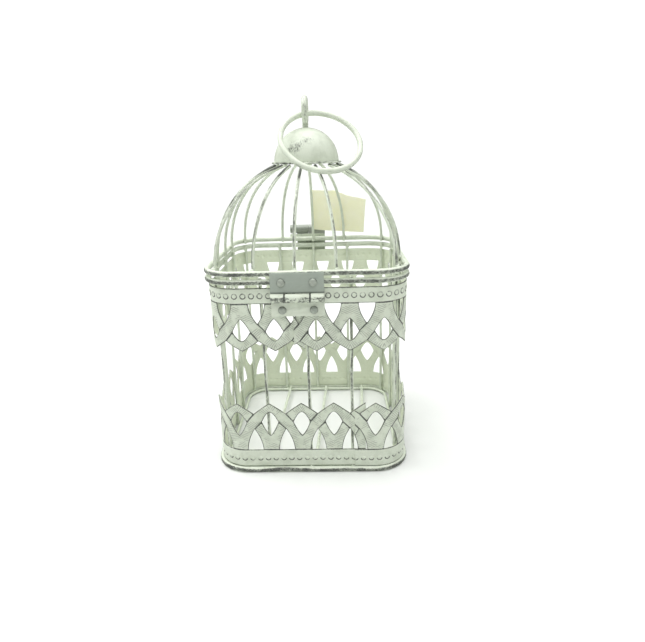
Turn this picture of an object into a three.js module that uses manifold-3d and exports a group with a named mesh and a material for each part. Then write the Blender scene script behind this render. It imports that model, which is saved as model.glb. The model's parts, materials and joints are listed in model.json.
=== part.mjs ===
// Square wire birdcage used as a wedding card box: a welded wire cage with two
// stamped lattice bands, and a wire dome lid with a hinge, a hasp and a hanging ring.
// Millimetres, +Z up. The hinge is on the front wall (-Y), the hasp on the back wall (+Y),
// and the origin is the middle of the footprint, on the surface that the cage stands on.

import * as THREE from "three";
import { mergeVertices } from "three/addons/utils/BufferGeometryUtils.js";
import Module from "manifold-3d";

// ---- Driving dimensions ---------------------------------------------------------------

// Overall
const RIM_WIDTH = 127; // across the outside of the body rim and the lid rim
const BASE_SPREAD = 2.2; // how much wider the base ring is than the rims
const WALL_HEIGHT = 130.5; // floor to the top of the body rim
const DOME_RISE = 57; // top of the lid rim to the middle of a rib's upper end
const CORNER_RADIUS = 19.5; // of every rim, on the middle of its wire

// Wires
const BASE_WIRE = 3.4;
const RIM_WIRE = 3.5;
const BAR_WIRE = 2.0;
const RIB_WIRE = 2.0;
const FLOOR_WIRE = 2.2;
const WELD_GAP = 0.05; // between pieces that are welded or riveted face to face
const LID_GAP = 1.5; // between the closed lid's rim and the body rim

// Bars, ribs and floor wires
const BARS_PER_SIDE = 3; // between the two corner bars
const RIB_SPACING = 24.5; // between the three middle ribs of a side
const FRONT_RIB_SHIFT = -6; // the front ribs stand off centre, one behind the hinge
const RIB_STEPS = 10;
const FLOOR_WIRE_COUNT = 3;
const FLOOR_WIRE_SPACING = 31;
const FLOOR_WIRE_SHIFT = 5;
const FLOOR_WIRE_SKEW = 5; // how far a floor wire drifts sideways from front to back

// Lattice bands: heights are measured from the strip's edge where the arches start
const SHEET = 0.7;
const BAND_LAP_GAP = 0.3; // between the two layers where a band overlaps itself
const ARCH_PITCH = 20.6; // of the stamping; each band is stretched to a whole number of them
const WEB_WIDTH = 10.6; // between two pointed windows at the strip
const DIAMOND_WIDTH = 10.8;
const LOWER_BAND = {
  strip: 12.4,
  pointed: 15.3,
  diamondFoot: 10.6,
  diamondTop: 27.3,
  valley: 26.2,
  peak: 33.6,
  seamAt: 28.6, // where the outer layer starts on the front wall
  lap: 6.9,
  firstPeak: 13.2, // from the start of the outer layer
  lastPeakPastEnd: 0.3,
};
const UPPER_BAND = {
  strip: 9.8,
  pointed: 12.6,
  diamondFoot: 9.6,
  diamondTop: 23.6,
  valley: 23.8,
  peak: 30.4,
  seamAt: -8,
  lap: 6.6,
  firstPeak: 13.7,
  lastPeakPastEnd: 2,
};
const UPPER_BAND_DROP = 5.5; // top of the body rim to the top of the upper band

// Hinge, on the front wall
const HARDWARE_X = -4.7; // middle of the hinge and of the hasp
const HINGE_WIDTH = 31.8;
const LEAF = 0.8;
const HINGE_DROP = 11; // hinge axis below the top of the body rim
const BARREL = 5.5;
const BARREL_WALL = 0.9;
const PIN_CLEARANCE = 0.1; // all round a pin in its knuckles
const KNUCKLE_GAP = 0.3;
const MIDDLE_KNUCKLE = 15.1;
const LEAF_ABOVE_AXIS = 15;
const LEAF_BELOW_AXIS = 11.8;
const RIVET_HEAD = 5;
const RIVET_HEAD_HEIGHT = 1.3;
const RIVET_SHANK = 2;
const RIVET_CLEARANCE = 0.1;
const RIVET_SPACING = 18.9;
const UPPER_RIVETS_ABOVE_AXIS = 9.2;
const LOWER_RIVETS_BELOW_AXIS = 7.9;

// Hasp, on the back wall
const HASP_BARREL = 6.8;
const HASP_BARREL_WIDTH = 28;
const HASP_KNUCKLE = 14.6; // the moving strap's own share of that width
const HASP_ABOVE_RIM = 2; // underside of the barrel above the top of the lid rim
const STRAP_WIDTH = 22.5;
const STRAP_END_BELOW_STAPLE = 3.8;
const STRAP_GAP = 0.4; // between the strap and the bracket that it hangs over
const STAPLE_WIRE = 1.8;
const STAPLE_SPREAD = 6.4; // between the staple's two legs
const STAPLE_REACH = 4.8; // how far the staple stands out past the strap
const SLOT_CLEARANCE = 0.9;

// Crown, cap, eye and hanging ring
const CROWN_RADIUS = 23;
const CROWN_SHEET = 1;
const RIB_END_RADIUS = 21;
const CROWN_SEAT = 0.15;
const CAP_RADIUS = 21.2;
const CAP_SHEET = 0.8;
const EYE_WIRE = 3.8;
const EYE_OPENING = 9.8;
const EYE_NECK = 1.7;
const EYE_HEAD = 7; // the upset end under the crown plate
const EYE_HEAD_HEIGHT = 1.4;
const RING_RADIUS = 25.2; // on the middle of its wire
const RING_WIRE = 3.5;
const RING_TURN = 33; // degrees to the right of straight forward
const RING_REST = 0.3; // least gap between the ring and the ribs that it lies on
const RING_PLAY = 0.8; // over the lowest point of the eye, for the ring goes through it askew
const RING_ROLL = -12;

// Paper tag, leaning on the ribs at the back
const TAG_SHEET = 0.3;
const TAG_LEAN = 13.6; // degrees from upright
const TAG_FOOT = 1.8; // above the top of the lid rim
const TAG_OUTLINE = [[0, 4], [0, 36], [20, 35], [29, 31], [42, 27], [40.5, 0]];

// ---- Derived levels and half-widths ---------------------------------------------------

const rimHalf = RIM_WIDTH / 2 - RIM_WIRE / 2;
const baseHalf = rimHalf + BASE_SPREAD / 2;
const cornerInset = rimHalf - CORNER_RADIUS;
const bodyRimZ = WALL_HEIGHT - RIM_WIRE / 2;
const lidRimZ = WALL_HEIGHT + LID_GAP + RIM_WIRE / 2;
const lidRimTop = lidRimZ + RIM_WIRE / 2;
const barTopHalf = rimHalf - RIM_WIRE / 2 - WELD_GAP - BAR_WIRE / 2;
const barFootHalf = baseHalf - BASE_WIRE / 2 - WELD_GAP - BAR_WIRE / 2;
const hingeZ = WALL_HEIGHT - HINGE_DROP;
const frontFace = RIM_WIDTH / 2; // of both rims, on every side
const crownZ = lidRimTop + DOME_RISE + RIB_WIRE / 2 + CROWN_SEAT;
const capZ = crownZ + CROWN_SHEET + WELD_GAP;

// Half-width of the wall that the bars make, on their middles, at height z.
function barHalf(z) {
  return THREE.MathUtils.lerp(barFootHalf, barTopHalf, z / WALL_HEIGHT);
}

// ---- Materials ------------------------------------------------------------------------

const paint = new THREE.MeshStandardMaterial({ color: 0xc9d1c2, roughness: 0.55, metalness: 0.1 });
const steel = new THREE.MeshStandardMaterial({ color: 0x9ba69c, roughness: 0.4, metalness: 0.8 });
const darkSteel = new THREE.MeshStandardMaterial({ color: 0x7f897d, roughness: 0.45, metalness: 0.8 });
const paper = new THREE.MeshStandardMaterial({ color: 0xe6e4bc, roughness: 0.9, metalness: 0 });

// ---- Solids ---------------------------------------------------------------------------

const wasm = await Module();
wasm.setup();

function toSolid(geometry) {
  const bare = geometry.clone();
  bare.deleteAttribute("normal");
  bare.deleteAttribute("uv");
  const merged = mergeVertices(bare, 1e-4);
  return new wasm.Manifold(
    new wasm.Mesh({
      numProp: 3,
      vertProperties: new Float32Array(merged.attributes.position.array),
      triVerts: new Uint32Array(merged.index.array),
    }),
  );
}

function toGeometry(solid) {
  const mesh = solid.getMesh();
  const positions = new Float32Array(mesh.numVert * 3);
  for (let i = 0; i < mesh.numVert; i++) {
    positions.set(mesh.vertProperties.subarray(i * mesh.numProp, i * mesh.numProp + 3), i * 3);
  }
  const geometry = new THREE.BufferGeometry();
  geometry.setAttribute("position", new THREE.BufferAttribute(positions, 3));
  geometry.setIndex(new THREE.BufferAttribute(new Uint32Array(mesh.triVerts), 1));
  geometry.computeVertexNormals();
  return geometry;
}

// Joins the first list of geometries and cuts the second list away from them.
function joined(bodies, cuts = []) {
  let solid = toSolid(bodies[0]);
  for (const body of bodies.slice(1)) solid = solid.add(toSolid(body));
  for (const cut of cuts) solid = solid.subtract(toSolid(cut));
  return toGeometry(solid);
}

function box(from, to) {
  const size = to.map((v, i) => v - from[i]);
  return new THREE.BoxGeometry(...size).translate(...from.map((v, i) => v + size[i] / 2));
}

// A round bar from x1 to x2, along X.
function barAlongX(radius, x1, x2, y, z, sides = 16) {
  return new THREE.CylinderGeometry(radius, radius, x2 - x1, sides)
    .rotateZ(Math.PI / 2)
    .translate((x1 + x2) / 2, y, z);
}

// The wire's section: a regular polygon that measures `wire` across its flats.
function wireSection(wire, sides) {
  const reach = wire / 2 / Math.cos(Math.PI / sides);
  return Array.from({ length: sides }, (_, j) => {
    const angle = ((j + 0.5) * 2 * Math.PI) / sides;
    return new THREE.Vector2(reach * Math.cos(angle), reach * Math.sin(angle));
  });
}

// Closed wire loop that lies flat: one section at each { x, y, nx, ny } of the path.
function wireLoop(path, wire, sides = 8) {
  const section = wireSection(wire, sides);
  const positions = [];
  const index = [];
  path.forEach((p, i) => {
    const next = (i + 1) % path.length;
    section.forEach((s, j) => {
      const up = (j + 1) % sides;
      positions.push(p.x + p.nx * s.x, p.y + p.ny * s.x, s.y);
      const [a, b, c, d] = [i * sides + j, next * sides + j, next * sides + up, i * sides + up];
      index.push(a, b, c, a, c, d);
    });
  });
  const geometry = new THREE.BufferGeometry();
  geometry.setAttribute("position", new THREE.Float32BufferAttribute(positions, 3));
  geometry.setIndex(index);
  return geometry;
}

function circlePath(radius, steps) {
  return Array.from({ length: steps }, (_, i) => {
    const angle = (i * 2 * Math.PI) / steps;
    const [nx, ny] = [Math.cos(angle), Math.sin(angle)];
    return { x: radius * nx, y: radius * ny, nx, ny };
  });
}

// Open wire along a curve, with flat ends.
function wireAlong(points, wire, steps, sides = 8) {
  return new THREE.ExtrudeGeometry(new THREE.Shape(wireSection(wire, sides)), {
    extrudePath: new THREE.CatmullRomCurve3(points),
    steps,
    bevelEnabled: false,
  });
}

// ---- The rounded square that the walls follow -----------------------------------------

// The place `along` the rounded square, counted anticlockwise from the middle of the front.
function wallPlace(along, half) {
  const corner = half - cornerInset;
  const quarter = 2 * cornerInset + (corner * Math.PI) / 2;
  const side = Math.floor((along + cornerInset) / quarter);
  const local = along + cornerInset - side * quarter;
  const angle = Math.max(0, local - 2 * cornerInset) / corner;
  const flat = Math.min(local, 2 * cornerInset) - cornerInset;
  const [nx, ny] = [Math.sin(angle), -Math.cos(angle)];
  const [x, y] = [flat + corner * nx, -cornerInset + corner * ny];
  const turn = new THREE.Vector2();
  const at = new THREE.Vector2(x, y).rotateAround(turn, (side * Math.PI) / 2);
  const normal = new THREE.Vector2(nx, ny).rotateAround(turn, (side * Math.PI) / 2);
  return { x: at.x, y: at.y, nx: normal.x, ny: normal.y };
}

function wallQuarter(half) {
  return 2 * cornerInset + ((half - cornerInset) * Math.PI) / 2;
}

// Where the rounded square's facets meet, from one end of `along` to the other.
function wallStops(half, from, to, arcSteps) {
  const quarter = wallQuarter(half);
  const arc = quarter - 2 * cornerInset;
  const stops = [];
  for (let side = -5; side < 6; side++) {
    for (let k = 0; k <= arcSteps; k++) {
      stops.push(side * quarter + cornerInset + (arc * k) / arcSteps);
    }
  }
  return stops.filter((s) => s > from && s < to);
}

function rimLoop(half, wire, arcSteps = 6) {
  const stops = wallStops(half, 0, 4 * wallQuarter(half), arcSteps);
  return wireLoop(stops.map((s) => wallPlace(s, half)), wire);
}

// The feet of the bars or ribs of all four sides: the middle ones at their
// offsets from the side's centre, and one in the middle of each corner's arc.
function wallFeet(half, offsetsOfSide) {
  const quarter = wallQuarter(half);
  const feet = [];
  for (let side = 0; side < 4; side++) {
    for (const offset of offsetsOfSide(side)) {
      feet.push(wallPlace(side * quarter + offset, half));
    }
    feet.push(wallPlace((side + 0.5) * quarter, half));
  }
  return feet;
}

// ---- Lattice bands --------------------------------------------------------------------

// A band is a strip with arches standing on it (up = 1) or hanging from it (up = -1).
// It starts at its seam as the outer layer, winds all the way round the bars and inwards
// by one layer, and ends under its own start. `u` runs along it from the seam.
function makeBand(band, edgeZ, up) {
  const springZ = edgeZ + up * band.strip;
  const half = bandHalf(band, edgeZ, up);
  const length = bandLength(band, half);
  const run = length + band.lastPeakPastEnd - band.firstPeak;
  const arches = Math.round(run / ARCH_PITCH);
  const pitch = run / arches;
  const bend = (u, z, depth) => {
    const p = wallPlace(band.seamAt + u, half);
    const out = depth + layerAt(u / length);
    return [p.x + p.nx * out, p.y + p.ny * out, z];
  };
  let solid = toSolid(plainStrip(band, edgeZ, up, half, length, bend));
  const outward = cutReach(half, pitch / 2);
  for (const cut of latticeCuts(band, springZ, up, arches, pitch, length, outward, bend)) {
    solid = solid.subtract(toSolid(cut));
  }
  return toGeometry(solid);
}

// How far out a cut of this half-width has to reach to go through the band at a corner,
// where the cut's outer face is a chord of the bend.
function cutReach(half, halfWidth) {
  const corner = half - cornerInset;
  return (corner + 2 * SHEET) * (1 / Math.cos(halfWidth / corner) - 1) + 2;
}

// Half-width of a band, on the middle of its inner layer. The bars lean in towards the
// rims, so a band that stands upright touches them at its lower edge.
function bandHalf(band, edgeZ, up) {
  const lowerEdge = Math.min(edgeZ, edgeZ + up * (band.strip + band.peak));
  return barHalf(lowerEdge) + BAR_WIRE / 2 + WELD_GAP + SHEET / 2;
}

function bandLength(band, half) {
  return 4 * wallQuarter(half) + band.lap;
}

// How far out of its inner layer a band lies, at a share of its length from the seam.
function layerAt(share) {
  return (SHEET + BAND_LAP_GAP) * (1 - share);
}

// The band before its windows are cut, bent round the cage.
function plainStrip(band, edgeZ, up, half, length, bend) {
  const seam = band.seamAt;
  const corners = wallStops(half, seam, seam + length, 6).map((s) => s - seam);
  const stops = [0, ...corners, length];
  const farZ = edgeZ + up * (band.strip + band.peak + 1);
  const [low, high] = [Math.min(edgeZ, farZ), Math.max(edgeZ, farZ)];
  const positions = [];
  const index = [];
  stops.forEach((u, i) => {
    positions.push(...bend(u, low, SHEET / 2), ...bend(u, high, SHEET / 2));
    positions.push(...bend(u, high, -SHEET / 2), ...bend(u, low, -SHEET / 2));
    if (i === stops.length - 1) return;
    for (let j = 0; j < 4; j++) {
      const [a, b] = [i * 4 + j, i * 4 + ((j + 1) % 4)];
      index.push(a, a + 4, b + 4, a, b + 4, b);
    }
  });
  const end = (stops.length - 1) * 4;
  index.push(0, 1, 2, 0, 2, 3, end, end + 2, end + 1, end, end + 3, end + 2);
  const geometry = new THREE.BufferGeometry();
  geometry.setAttribute("position", new THREE.Float32BufferAttribute(positions, 3));
  geometry.setIndex(index);
  return geometry;
}

// Pointed window between two webs, standing on the strip.
function pointedWindow(band, pitch, up) {
  const w = (pitch - WEB_WIDTH) / 2;
  const shape = new THREE.Shape();
  shape.moveTo(-w, 0);
  shape.lineTo(w, 0);
  shape.quadraticCurveTo(w * 0.95, up * band.pointed * 0.5, 0, up * band.pointed);
  shape.quadraticCurveTo(-w * 0.95, up * band.pointed * 0.5, -w, 0);
  return shape;
}

// Window under an arch's peak, down to where its neighbours' legs cross.
function diamondWindow(band, up) {
  const w = DIAMOND_WIDTH / 2;
  const waist = band.diamondFoot + (band.diamondTop - band.diamondFoot) * 0.58;
  const shape = new THREE.Shape();
  shape.moveTo(0, up * band.diamondFoot);
  shape.quadraticCurveTo(w * 0.45, up * (band.diamondFoot + 2), w, up * waist);
  shape.quadraticCurveTo(w * 0.4, up * band.diamondTop, 0, up * band.diamondTop);
  shape.quadraticCurveTo(-w * 0.4, up * band.diamondTop, -w, up * waist);
  shape.quadraticCurveTo(-w * 0.45, up * (band.diamondFoot + 2), 0, up * band.diamondFoot);
  return shape;
}

// What is cut away between two peaks, down to the valley where the arches cross.
function valleyNotch(band, pitch, up) {
  const w = pitch / 2;
  const fall = band.peak - band.valley;
  const past = 0.4; // over the neighbouring notch, so that no sliver is left between them
  const shape = new THREE.Shape();
  shape.moveTo(0, up * band.valley);
  shape.quadraticCurveTo(w * 0.55, up * (band.valley + fall * 0.6), w, up * band.peak);
  shape.lineTo(w + past, up * (band.peak + 0.3));
  for (let k = 3; k >= -3; k--) {
    shape.lineTo(((w + past) * k) / 3, up * (band.peak + 2));
  }
  shape.lineTo(-w - past, up * (band.peak + 0.3));
  shape.lineTo(-w, up * band.peak);
  shape.quadraticCurveTo(-w * 0.55, up * (band.valley + fall * 0.6), 0, up * band.valley);
  return shape;
}

function latticeCuts(band, springZ, up, arches, pitch, length, outward, bend) {
  const cuts = [];
  const cut = (shape, u) => {
    const halfPitch = pitch / 2;
    if (u + halfPitch < 0 || u - halfPitch > length) return;
    // Where the band lies over itself a cut stays within its own layer.
    const lapped = u - halfPitch < band.lap || u + halfPitch > length - band.lap;
    const [inner, outer] = lapped ? [BAND_LAP_GAP / 2, BAND_LAP_GAP / 2] : [2, outward];
    cuts.push(bentPrism(shape, u, springZ, SHEET / 2 + inner, SHEET / 2 + outer, bend));
  };
  for (let k = -1; k <= arches + 1; k++) {
    const peakAt = band.firstPeak + k * pitch;
    cut(diamondWindow(band, up), peakAt);
    cut(pointedWindow(band, pitch, up), peakAt + pitch / 2);
    cut(valleyNotch(band, pitch, up), peakAt + pitch / 2);
  }
  return cuts;
}

// A shape drawn on the unrolled band, given depth to both sides of it and bent round.
function bentPrism(shape, u, z, inward, outward, bend) {
  const geometry = new THREE.ExtrudeGeometry(shape, {
    depth: inward + outward,
    bevelEnabled: false,
    curveSegments: 3,
  });
  const position = geometry.attributes.position;
  for (let i = 0; i < position.count; i++) {
    const depth = position.getZ(i) - inward;
    position.setXYZ(i, ...bend(u + position.getX(i), z + position.getY(i), depth));
  }
  return geometry;
}

// ---- Cage body ------------------------------------------------------------------------

const root = new THREE.Group();
root.name = "birdcage_card_box";

function add(group, name, geometry, material) {
  const mesh = new THREE.Mesh(geometry, material);
  mesh.name = name;
  group.add(mesh);
  return mesh;
}

function numbered(name, i) {
  return `${name}_${String(i + 1).padStart(2, "0")}`;
}

const cage = new THREE.Group();
root.add(cage);

add(cage, "base_ring", rimLoop(baseHalf, BASE_WIRE), paint).position.z = BASE_WIRE / 2;
add(cage, "body_rim", rimLoop(rimHalf, RIM_WIRE), paint).position.z = bodyRimZ;

// The floor: a wire ring inside the feet of the bars, and wires laid across it.
const floorHalf = barFootHalf - BAR_WIRE / 2 - WELD_GAP - FLOOR_WIRE / 2;
const floorRingZ = BASE_WIRE / 2;
add(cage, "floor_ring", rimLoop(floorHalf, FLOOR_WIRE), paint).position.z = floorRingZ;

function floorWire(i) {
  const x = (i - (FLOOR_WIRE_COUNT - 1) / 2) * FLOOR_WIRE_SPACING + FLOOR_WIRE_SHIFT;
  const length = 2 * floorHalf;
  const wire = new THREE.CylinderGeometry(FLOOR_WIRE / 2, FLOOR_WIRE / 2, length, 8);
  wire.rotateZ(Math.atan(-FLOOR_WIRE_SKEW / length));
  return wire.translate(x, 0, floorRingZ + FLOOR_WIRE + WELD_GAP);
}

for (let i = 0; i < FLOOR_WIRE_COUNT; i++) {
  add(cage, `floor_wire_${i + 1}`, floorWire(i), paint);
}

// Bars, welded to the inside of the base ring and of the body rim.
function barOffsets(half) {
  const cornerBar = cornerInset + (half - cornerInset) * Math.SQRT1_2;
  const step = (2 * cornerBar) / (BARS_PER_SIDE + 1);
  return () => Array.from({ length: BARS_PER_SIDE }, (_, k) => (k - (BARS_PER_SIDE - 1) / 2) * step);
}

function bar(foot, top) {
  const from = new THREE.Vector3(foot.x, foot.y, 0.4);
  const to = new THREE.Vector3(top.x, top.y, WALL_HEIGHT);
  const along = to.clone().sub(from);
  const wire = new THREE.CylinderGeometry(BAR_WIRE / 2, BAR_WIRE / 2, along.length(), 8);
  const turn = new THREE.Quaternion().setFromUnitVectors(new THREE.Vector3(0, 1, 0), along.normalize());
  return wire.applyQuaternion(turn).translate(...from.add(to).divideScalar(2).toArray());
}

const barTops = wallFeet(barTopHalf, barOffsets(barTopHalf));
wallFeet(barFootHalf, barOffsets(barTopHalf)).forEach((foot, i) => {
  add(cage, numbered("bar", i), bar(foot, barTops[i]), paint);
});

// Rivet standing on a leaf, its head outwards along -Y at y = 0 and its shank running to +Y.
function rivet(shankLength, tailHeight) {
  const head = RIVET_HEAD / 2;
  const shank = RIVET_SHANK / 2;
  const profile = [new THREE.Vector2(0, RIVET_HEAD_HEIGHT)];
  for (let k = 1; k <= 3; k++) {
    const angle = (k * Math.PI) / 6;
    profile.push(new THREE.Vector2(head * Math.sin(angle), RIVET_HEAD_HEIGHT * Math.cos(angle)));
  }
  profile.push(new THREE.Vector2(shank, 0), new THREE.Vector2(shank, -shankLength));
  if (tailHeight > 0) {
    const tail = shank * 1.7;
    profile.push(new THREE.Vector2(tail, -shankLength));
    profile.push(new THREE.Vector2(tail, -shankLength - tailHeight));
  }
  profile.push(new THREE.Vector2(0, -shankLength - tailHeight));
  return new THREE.LatheGeometry(profile.reverse(), 12).rotateX(Math.PI);
}

function rivetHole(x, yFrom, yTo, z) {
  const radius = RIVET_SHANK / 2 + RIVET_CLEARANCE;
  return new THREE.CylinderGeometry(radius, radius, yTo - yFrom, 12).translate(x, (yFrom + yTo) / 2, z);
}

// ---- Hinge ----------------------------------------------------------------------------

const upperBandTop = WALL_HEIGHT - UPPER_BAND_DROP;
const upperBandHalf = bandHalf(UPPER_BAND, upperBandTop, -1);
const upperBandFace = upperBandHalf + SHEET / 2; // of the inner layer
const lappedFace = upperBandFace + layerAt(0);

const upperLeafBack = -frontFace - WELD_GAP;
const lowerLeafBack = -lappedFace - WELD_GAP;
const hingeY = lowerLeafBack - BARREL / 2;
const hingeLeft = HARDWARE_X - HINGE_WIDTH / 2;
const hingeRight = HARDWARE_X + HINGE_WIDTH / 2;
const middleLeft = HARDWARE_X - MIDDLE_KNUCKLE / 2;
const middleRight = HARDWARE_X + MIDDLE_KNUCKLE / 2;
const boreRadius = BARREL / 2 - BARREL_WALL;
const rivetXs = [HARDWARE_X - RIVET_SPACING / 2, HARDWARE_X + RIVET_SPACING / 2];
const upperRivetZ = hingeZ + UPPER_RIVETS_ABOVE_AXIS;
const lowerRivetZ = hingeZ - LOWER_RIVETS_BELOW_AXIS;

// A leaf is a plate with its knuckles. `spans` are the knuckles' ends along X, and `tab`
// is the height of the sheet that joins them to the plate.
function hingeLeaf(plate, spans, tab, back, rivetZ) {
  const bodies = [plate];
  const cuts = [];
  for (const [x1, x2] of spans) {
    bodies.push(box([x1, back - LEAF, tab[0]], [x2, back, tab[1]]));
    bodies.push(barAlongX(BARREL / 2, x1, x2, hingeY, hingeZ));
    cuts.push(barAlongX(boreRadius, x1 - 1, x2 + 1, hingeY, hingeZ));
  }
  for (const x of rivetXs) cuts.push(rivetHole(x, back - LEAF - 1, back + 1, rivetZ));
  return joined(bodies, cuts);
}

const upperPlate = box(
  [hingeLeft, upperLeafBack - LEAF, hingeZ + BARREL / 2 + KNUCKLE_GAP],
  [hingeRight, upperLeafBack, hingeZ + LEAF_ABOVE_AXIS],
);
const lowerPlate = box(
  [hingeLeft, lowerLeafBack - LEAF, hingeZ - LEAF_BELOW_AXIS],
  [hingeRight, lowerLeafBack, hingeZ - BARREL / 2 - KNUCKLE_GAP],
);
const outerSpans = [[hingeLeft, middleLeft - KNUCKLE_GAP], [middleRight + KNUCKLE_GAP, hingeRight]];
const middleSpans = [[middleLeft, middleRight]];
const upperTab = [hingeZ, hingeZ + LEAF_ABOVE_AXIS / 2];
const lowerTab = [hingeZ - LEAF_BELOW_AXIS / 2, hingeZ];
const upperLeaf = hingeLeaf(upperPlate, outerSpans, upperTab, upperLeafBack, upperRivetZ);
const lowerLeaf = hingeLeaf(lowerPlate, middleSpans, lowerTab, lowerLeafBack, lowerRivetZ);

// The two lower rivets go through the leaf and the upper band, which is drilled for them.
const bandInnerFace = -(upperBandFace - SHEET);
const lowerShank = -lowerLeafBack + LEAF + bandInnerFace + WELD_GAP;
const bandHoles = rivetXs.map((x) => rivetHole(x, -lappedFace - 1, bandInnerFace + 1, lowerRivetZ));

add(cage, "lower_lattice_band", makeBand(LOWER_BAND, BASE_WIRE + WELD_GAP, 1), paint);
const upperBand = makeBand(UPPER_BAND, upperBandTop, -1);
add(cage, "upper_lattice_band", joined([upperBand], bandHoles), paint);
add(cage, "hinge_lower_leaf", lowerLeaf, paint);
rivetXs.forEach((x, i) => {
  const mesh = add(cage, `hinge_lower_rivet_${i + 1}`, rivet(lowerShank + WELD_GAP, 0.6), paint);
  mesh.position.set(x, lowerLeafBack - LEAF - WELD_GAP, lowerRivetZ);
});

const lid = new THREE.Group();
root.add(lid);
add(lid, "hinge_upper_leaf", upperLeaf, steel);
rivetXs.forEach((x, i) => {
  const mesh = add(lid, `hinge_upper_rivet_${i + 1}`, rivet(LEAF, 0), steel);
  mesh.position.set(x, upperLeafBack - LEAF - WELD_GAP, upperRivetZ);
});
const pinRadius = boreRadius * Math.cos(Math.PI / 16) - PIN_CLEARANCE;
add(lid, "hinge_pin", barAlongX(pinRadius, hingeLeft, hingeRight, hingeY, hingeZ), steel);

// ---- Dome -----------------------------------------------------------------------------

add(lid, "lid_rim", rimLoop(rimHalf, RIM_WIRE), paint).position.z = lidRimZ;

function ribOffsets(side) {
  const shift = side === 0 ? FRONT_RIB_SHIFT : 0;
  return [-1, 0, 1].map((k) => k * RIB_SPACING + shift);
}

// Height of the ellipse that a rib with its foot at `reach` from the middle follows.
function ribRise(reach) {
  return DOME_RISE / Math.sqrt(1 - (RIB_END_RADIUS / reach) ** 2);
}

// A rib stands on the inside of the lid rim and follows a quarter of an ellipse, in the
// upright plane through the middle of the dome, to its end under the crown plate.
function rib(foot) {
  const reach = Math.hypot(foot.x, foot.y);
  const rise = ribRise(reach);
  const last = Math.acos(RIB_END_RADIUS / reach);
  const points = [new THREE.Vector3(foot.x, foot.y, lidRimZ - RIM_WIRE / 2)];
  for (let k = 0; k <= RIB_STEPS; k++) {
    const angle = (last * k) / RIB_STEPS;
    const share = Math.cos(angle);
    points.push(new THREE.Vector3(foot.x * share, foot.y * share, lidRimTop + rise * Math.sin(angle)));
  }
  return wireAlong(points, RIB_WIRE, RIB_STEPS);
}

wallFeet(barTopHalf, ribOffsets).forEach((foot, i) => {
  add(lid, numbered("rib", i), rib(foot), paint);
});

// Sheet metal turned round the upright axis; the profile is [radius, height] pairs.
function turned(profile, steps = 24) {
  const points = profile.map(([r, z]) => new THREE.Vector2(r, z));
  return new THREE.LatheGeometry([...points, points[0]], steps).rotateX(Math.PI / 2);
}

const stemHole = EYE_WIRE / 2 + 0.3;
const crownPlate = turned([
  [stemHole, 0], [CROWN_RADIUS, 0], [CROWN_RADIUS, CROWN_SHEET], [stemHole, CROWN_SHEET],
]);
add(lid, "crown_plate", crownPlate, paint).position.z = crownZ;

// Pressed cap: a half ball of sheet, with a hole for the eye's stem at its top.
function capProfile() {
  const arc = (radius, from, to) => Array.from({ length: 7 }, (_, k) => {
    const angle = THREE.MathUtils.lerp(from, to, k / 6);
    return [radius * Math.cos(angle), radius * Math.sin(angle)];
  });
  const inner = CAP_RADIUS - CAP_SHEET;
  const outerTop = Math.acos(stemHole / CAP_RADIUS);
  const innerTop = Math.acos(stemHole / inner);
  return [...arc(CAP_RADIUS, 0, outerTop), ...arc(inner, innerTop, 0)];
}

add(lid, "cap", turned(capProfile()), paint).position.z = capZ;

// Eye: a ring of wire on a stem that goes down through the cap and the crown plate.
const eyeRadius = EYE_OPENING / 2 + EYE_WIRE / 2;
const capTop = capZ + CAP_RADIUS;
const eyeZ = capTop + EYE_NECK + EYE_WIRE / 2 + eyeRadius;
const stemFrom = crownZ - WELD_GAP - EYE_HEAD_HEIGHT;
const stemTo = eyeZ - eyeRadius;
const eyeLoop = wireLoop(circlePath(eyeRadius, 20), EYE_WIRE, 8)
  .rotateX(Math.PI / 2)
  .rotateZ(Math.PI / 2)
  .translate(0, 0, eyeZ);
const stem = new THREE.CylinderGeometry(EYE_WIRE / 2, EYE_WIRE / 2, stemTo - stemFrom, 12)
  .rotateX(Math.PI / 2)
  .translate(0, 0, (stemFrom + stemTo) / 2);
const stemHead = new THREE.CylinderGeometry(EYE_HEAD / 2, EYE_HEAD / 2, EYE_HEAD_HEIGHT, 12)
  .rotateX(Math.PI / 2)
  .translate(0, 0, stemFrom + EYE_HEAD_HEIGHT / 2);
add(lid, "hanging_eye", joined([eyeLoop, stem, stemHead]), paint);

// How far a rib's foot would stand from the middle, in the direction of (x, y).
function wallReach(x, y) {
  const [m, n] = [Math.max(Math.abs(x), Math.abs(y)), Math.min(Math.abs(x), Math.abs(y))];
  const across = Math.hypot(m, n);
  const corner = barTopHalf - cornerInset;
  if (n * barTopHalf <= m * cornerInset) return (across * barTopHalf) / m;
  const b = cornerInset * (m + n);
  const c = 2 * cornerInset ** 2 - corner ** 2;
  return (b + Math.sqrt(b * b - across * across * c)) / across;
}

// Distance of a point outside the crown from the surface that the ribs' middles lie on.
function aboveDome(at) {
  const across = Math.hypot(at.x, at.y);
  if (across < CROWN_RADIUS) return Infinity;
  const reach = wallReach(at.x, at.y);
  const level = Math.sqrt(1 - (across / reach) ** 2);
  const steepness = (ribRise(reach) * across) / (reach * reach * level);
  return (at.z - lidRimTop - ribRise(reach) * level) / Math.hypot(1, steepness);
}

const degrees = THREE.MathUtils.degToRad;

function ringTurn(droop) {
  return new THREE.Euler(degrees(droop), degrees(RING_ROLL), degrees(RING_TURN), "ZXY");
}

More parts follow.
